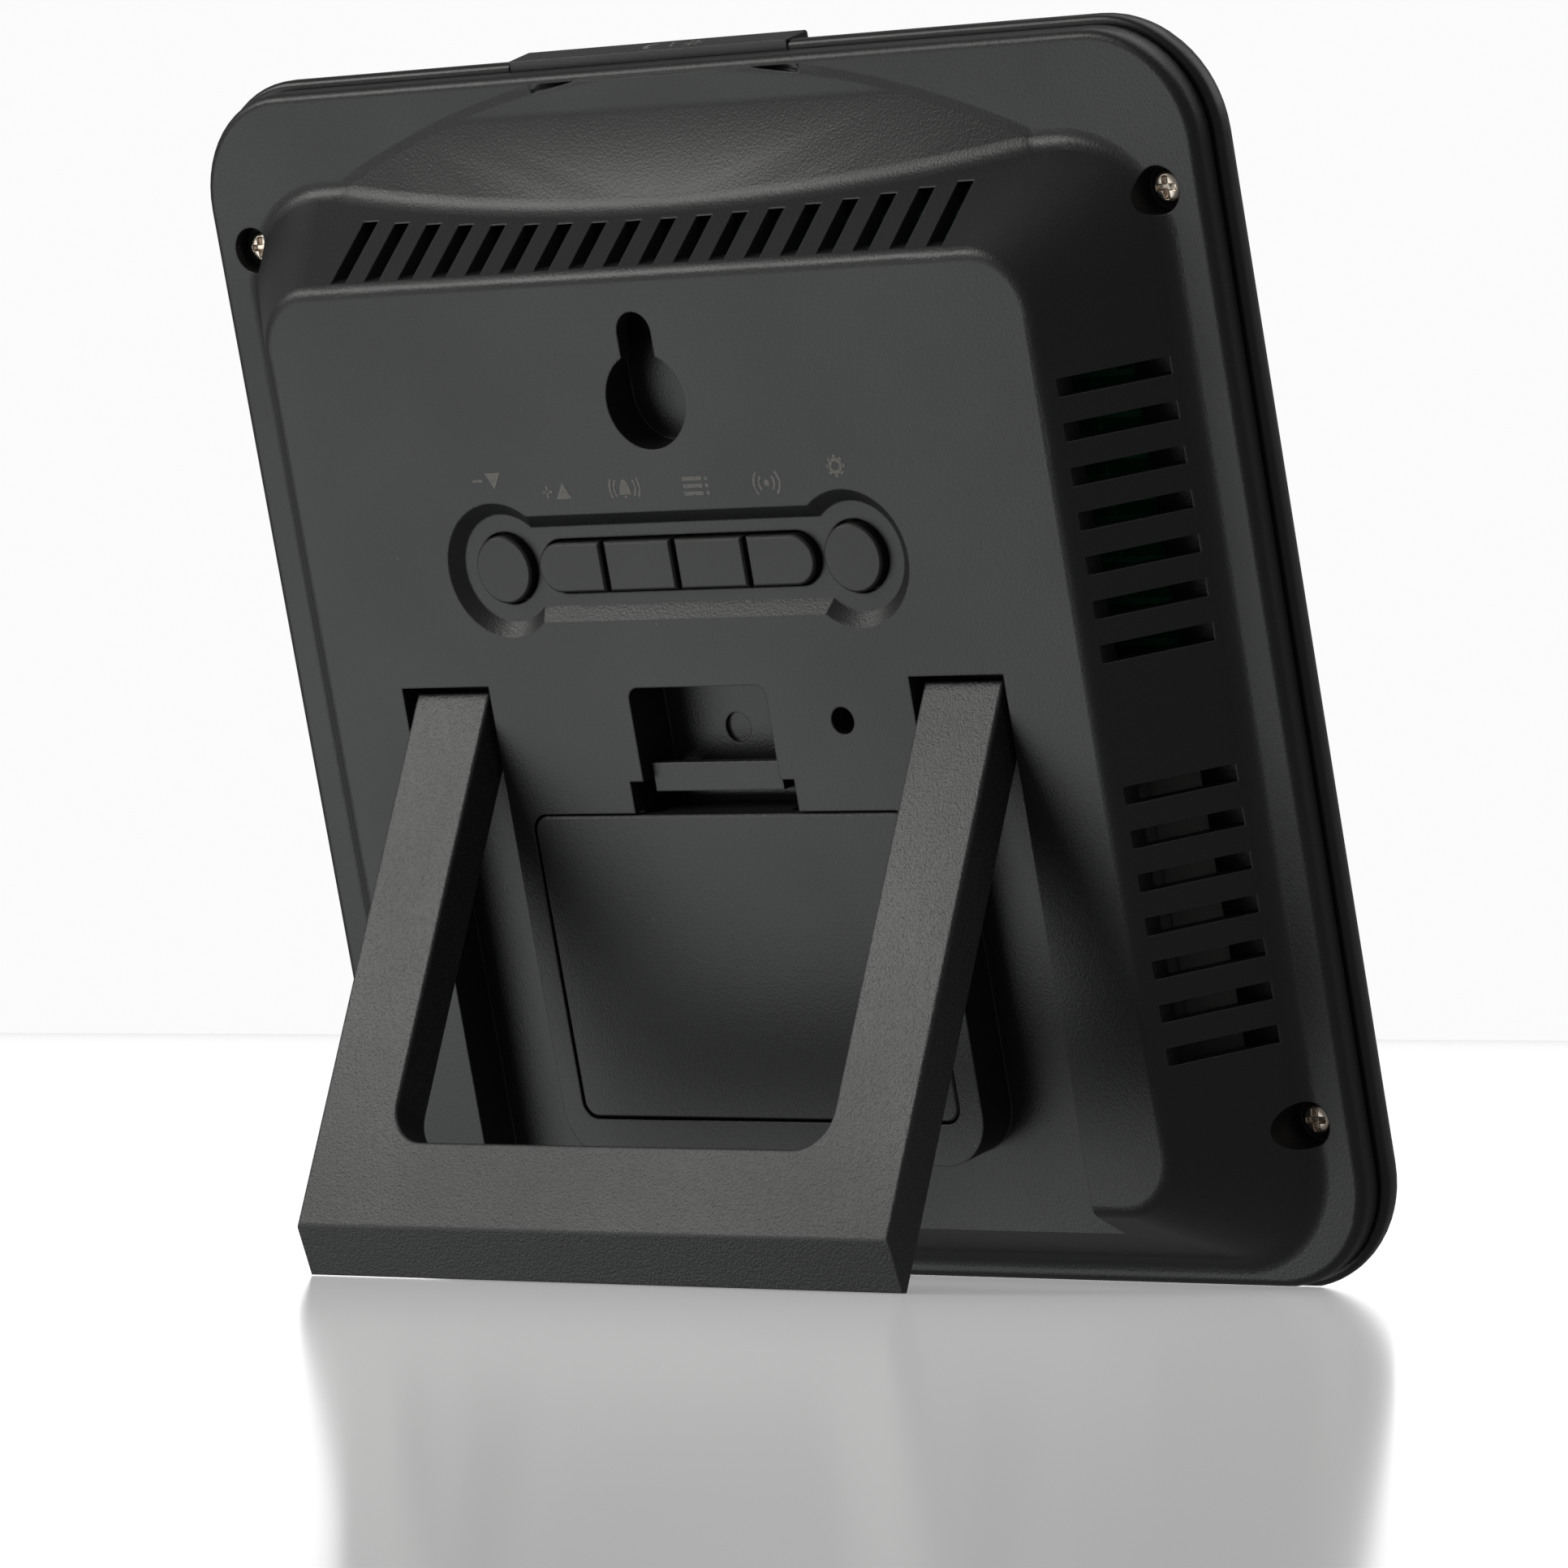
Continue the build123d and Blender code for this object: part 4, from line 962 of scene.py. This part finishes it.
class CLOCK_OT_boards(bpy.types.Operator):
    """Gives the boards their solder mask with traces, and the pieces on them their finishes."""

    bl_idname = "clock.boards"
    bl_label = "Boards"
    bl_options = {"REGISTER", "UNDO"}

    def execute(self, context):
        colours = context.scene.clock_colours
        give(solder_mask("green_mask", colours.board), "main_board", "key_board", "receiver_module")
        black = plastic("chip_moulding", (0.012, 0.012, 0.013), 6000.0, 0.00003, 0.45, painted_grain_highlight=0.01)
        give(black, "controller_chip", "beeper", "board_header", "power_socket", "snooze_switch")
        give(
            plastic("sensor_body", (0.55, 0.55, 0.52), 3000.0, 0.00002, 0.5, painted_grain_highlight=0.05), "climate_sensor"
        )
        give(plastic("wire_sleeve", (0.35, 0.015, 0.015), 1800.0, 0.00001, 0.35, painted_grain_highlight=0.02), "antenna")
        give(plastic("white_frame", (0.62, 0.62, 0.6), 2600.0, 0.00003, 0.5, painted_grain_highlight=0.03), "display_frame")
        give(plastic("lamp_strip", (0.7, 0.69, 0.6), 2600.0, 0.00001, 0.4, painted_grain_highlight=0.03), "backlight_lamps")
        return {"FINISHED"}


class CLOCK_OT_cells(bpy.types.Operator):
    """Gives the three cells their plain banded sleeves."""

    bl_idname = "clock.cells"
    bl_label = "Cells"
    bl_options = {"REGISTER", "UNDO"}

    def execute(self, context):
        low, high = panel_box("lower_cell")
        give(cell_sleeve("cell_sleeve", (high[0] - low[0]) / 2), "lower_cell", "middle_cell", "upper_cell")
        return {"FINISHED"}


class CLOCK_OT_display(bpy.types.Operator):
    """Gives the lens, glass and light guide their finishes and draws the lit segments behind the lens."""

    bl_idname = "clock.display"
    bl_label = "Display"
    bl_options = {"REGISTER", "UNDO"}

    def execute(self, context):
        colours = context.scene.clock_colours
        sizes = context.scene.clock_sizes
        give(clear_lens("smoked_lens"), "display_lens")
        give(
            plastic("dark_cell_glass", (0.006, 0.007, 0.009), 900.0, 0.000002, 0.12, painted_grain_highlight=0.002),
            "display_glass",
        )
        give(
            plastic("light_guide_clear", (0.6, 0.62, 0.62), 1500.0, 0.00001, 0.25, painted_grain_highlight=0.03),
            "light_guide",
        )
        low, high = panel_box("display_glass")
        level = low[2]
        middle = (low + high) / 2
        size = sizes.digit_height
        face = np.array([-1.0, 1.0])
        time_line = middle[1] + 22 * MM
        reading_line = middle[1] - 24 * MM
        pale = lit_segments("pale_segments", colours.digits)
        amber = lit_segments("amber_segments", (1.0, 0.55, 0.16))
        time_strokes = []
        for character, column in (("1", -1.62), ("0", -0.72), ("0", 0.62), ("8", 1.5)):
            time_strokes += shifted(segment_digit(character, size), (column * 0.78 * size, 0.0))
        for dot in (-0.18, 0.2):
            path = line((-0.055 * size, dot * size), (0.045 * size, dot * size), 9)
            time_strokes.append((path, disc_widths(0.05 * size, 9)))
        small = 0.5 * size
        readings = []
        for character, place in (("2", -43.0), ("1", -31.0), ("5", -18.0), ("4", 16.0), ("6", 28.0)):
            readings += shifted(segment_digit(character, small), (place * MM, 0.0))
        readings.append(
            (line((-25.4 * MM, -0.45 * small), (-24.2 * MM, -0.45 * small), 7), disc_widths(0.6 * MM, 7))
        )
        readings.append((arc((-10.0 * MM, 0.36 * small), 1.5 * MM, 0, 360, 25), 0.28 * MM))
        drop = line((42.0 * MM, 0.42 * small), (42.0 * MM, -0.3 * small), 17)
        taper = np.sqrt(np.linspace(0.0, 1.0, 17)) * np.sqrt(np.linspace(1.0, 0.02, 17))
        readings.append((drop, taper * 4.4 * MM + 0.02 * MM))
        frame_line = line((-52 * MM, 26.5 * MM), (52 * MM, 26.5 * MM))
        readings.append((frame_line, 0.12 * MM))
        for name, strokes, height, finish in (
            ("time_segments", time_strokes, time_line, pale),
            ("reading_segments", readings, reading_line, amber),
        ):
            placed = [(np.asarray(path) * face[None], widths) for path, widths in strokes]
            points, faces = print_marks(
                placed, (middle[0], height), level - 0.03 * MM, sizes.mark_thickness
            )
            recalculate(make_piece(name, to_row(points), faces, finish, "case"))
        return {"FINISHED"}


class CLOCK_OT_stage(bpy.types.Operator):
    """Adds the pale floor, the soft lights and the camera."""

    bl_idname = "clock.stage"
    bl_label = "Floor, lights and camera"
    bl_options = {"REGISTER", "UNDO"}

    def execute(self, context):
        stage = context.scene.clock_stage
        scene = context.scene
        a, e = stage.azimuth, stage.elevation
        away = Vector((math.sin(a) * math.cos(e), -math.cos(a) * math.cos(e), math.sin(e)))
        right = Vector((0.0, 0.0, 1.0)).cross(away).normalized()
        up = away.cross(right)
        turn = Matrix.Rotation(stage.roll, 3, away)
        right, up = turn @ right, turn @ up
        camera_data = bpy.data.cameras.new("stage_camera")
        camera_data.lens = stage.lens
        camera_data.sensor_width = 36.0
        camera_data.clip_end = 50.0
        camera = bpy.data.objects.new("stage_camera", camera_data)
        scene.collection.objects.link(camera)
        place = Matrix([right, up, away]).transposed().to_4x4()
        place.translation = Vector(stage.aim) + stage.distance * away
        camera.matrix_world = place
        scene.camera = camera
        self.add_floor(stage)
        self.add_lights(stage)
        return {"FINISHED"}

    def add_floor(self, stage):
        """The floor is a disc: rings of points, their radius growing as a power from the middle out."""
        turns, rings = 96, 24
        radius = 6.0 * np.linspace(0.0, 1.0, rings + 1)[1:] ** 2
        angle = np.linspace(0.0, 2 * math.pi, turns, endpoint=False)
        r, t = np.meshgrid(radius, angle, indexing="ij")
        points = np.stack([r * np.cos(t), r * np.sin(t), np.full_like(r, -0.0001)], -1).reshape(-1, 3)
        points = np.vstack([points, [[0.0, 0.0, -0.0001]]])
        quads = [list(f)[::-1] for f in grid_faces(rings, turns, closed_columns=True)]
        centre = len(points) - 1
        fan = [[centre, i, (i + 1) % turns] for i in range(turns)]
        mesh = bpy.data.meshes.new("stage_floor")
        mesh.from_pydata(points.tolist(), [], quads + fan)
        floor = bpy.data.objects.new("stage_floor", mesh)
        bpy.context.scene.collection.objects.link(floor)
        material, _, shader = new_material("stage_floor")
        shader.inputs["Base Color"].default_value = (*stage.floor, 1.0)
        shader.inputs["Emission Color"].default_value = (1.0, 1.0, 1.0, 1.0)
        shader.inputs["Emission Strength"].default_value = 0.25
        shader.inputs["Roughness"].default_value = 0.12
        mesh.materials.append(material)
        floor.visible_glossy = False
        floor.visible_diffuse = False
        floor.visible_shadow = False

    def add_lights(self, stage):
        """Large soft boxes round the clock, and a pale surround that only the eye sees."""
        world = bpy.data.worlds.new("stage_world")
        world.use_nodes = True
        bpy.context.scene.world = world
        tree = world.node_tree
        surround = tree.nodes["Background"]
        surround.inputs["Color"].default_value = (1.0, 1.0, 1.0, 1.0)
        seen = tree.nodes.new("ShaderNodeLightPath").outputs["Is Camera Ray"]
        strength = add_node(tree, "ShaderNodeMapRange", {"Value": seen, "To Min": 0.17, "To Max": 0.97})
        tree.links.new(strength.outputs[0], surround.inputs["Strength"])
        boxes = [
            ("stage_low_box", (0.61, 0.68, -0.34), 0.8, (0.55, 0.5), 1.7, (0.98, 1.0, 1.0)),
            ("stage_left_strip", (0.61, 0.69, 0.42), 0.9, (0.5, 0.12), 9.0, (1.0, 0.98, 0.95)),
            ("stage_upper_box", (0.61, 0.6, 0.52), 0.9, (0.5, 0.25), 3.0, (1.0, 0.99, 0.97)),
            ("stage_top_box", (-0.1, -0.15, 1.0), 0.7, (0.8, 0.6), 1.2, (1.0, 1.0, 1.0)),
            ("stage_back_panel", (0.61, -0.79, 0.08), 7.2, (1.9, 1.2), 0.93, (1.0, 1.0, 1.0)),
            ("stage_front_box", (-0.35, -0.75, 0.62), 1.2, (0.7, 0.7), 0.8, (1.0, 1.0, 1.0)),
        ]
        for name, direction, distance, size, radiance, tint in boxes:
            lamp = bpy.data.lights.new(name, "AREA")
            lamp.shape = "RECTANGLE"
            lamp.size, lamp.size_y = size
            lamp.color = tint
            lamp.energy = stage.light * radiance * math.pi * size[0] * size[1]
            box = bpy.data.objects.new(name, lamp)
            bpy.context.scene.collection.objects.link(box)
            direction = Vector(direction).normalized()
            box.matrix_world = direction.to_track_quat("Z", "Y").to_matrix().to_4x4()
            box.location = Vector(stage.aim) + distance * direction
            box.visible_camera = False


class CLOCK_PT_panel(bpy.types.Panel):
    """The clock's operators and settings."""

    bl_idname = "CLOCK_PT_panel"
    bl_label = "Desk clock"
    bl_space_type = "VIEW_3D"
    bl_region_type = "UI"
    bl_category = "Clock"

    def draw(self, context):
        for operator in OPERATORS:
            self.layout.operator(operator.bl_idname)
        for group in (context.scene.clock_colours, context.scene.clock_sizes, context.scene.clock_stage):
            for setting in group.bl_rna.properties.keys():
                if setting not in ("rna_type", "name"):
                    self.layout.prop(group, setting)


OPERATORS = (
    CLOCK_OT_case,
    CLOCK_OT_keys,
    CLOCK_OT_key_marks,
    CLOCK_OT_bar_marks,
    CLOCK_OT_screws,
    CLOCK_OT_springs,
    CLOCK_OT_metals,
    CLOCK_OT_boards,
    CLOCK_OT_cells,
    CLOCK_OT_display,
    CLOCK_OT_stage,
)
SETTINGS = (("clock_colours", ClockColours), ("clock_sizes", ClockSizes), ("clock_stage", ClockStage))


def register():
    for name, group in SETTINGS:
        bpy.utils.register_class(group)
        setattr(bpy.types.Scene, name, bpy.props.PointerProperty(type=group))
    for operator in OPERATORS:
        bpy.utils.register_class(operator)
    bpy.utils.register_class(CLOCK_PT_panel)


def unregister():
    bpy.utils.unregister_class(CLOCK_PT_panel)
    for operator in reversed(OPERATORS):
        bpy.utils.unregister_class(operator)
    for name, group in SETTINGS:
        delattr(bpy.types.Scene, name)
        bpy.utils.unregister_class(group)


def main():
    """Builds the clock's looks and its stage, in order."""
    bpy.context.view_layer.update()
    register()
    bpy.context.scene.view_settings.view_transform = "Standard"
    bpy.ops.clock.case()
    bpy.ops.clock.keys()
    bpy.ops.clock.key_marks()
    bpy.ops.clock.bar_marks()
    bpy.ops.clock.screws()
    bpy.ops.clock.springs()
    bpy.ops.clock.metals()
    bpy.ops.clock.boards()
    bpy.ops.clock.cells()
    bpy.ops.clock.display()
    bpy.ops.clock.stage()


if __name__ == "__main__":
    main()
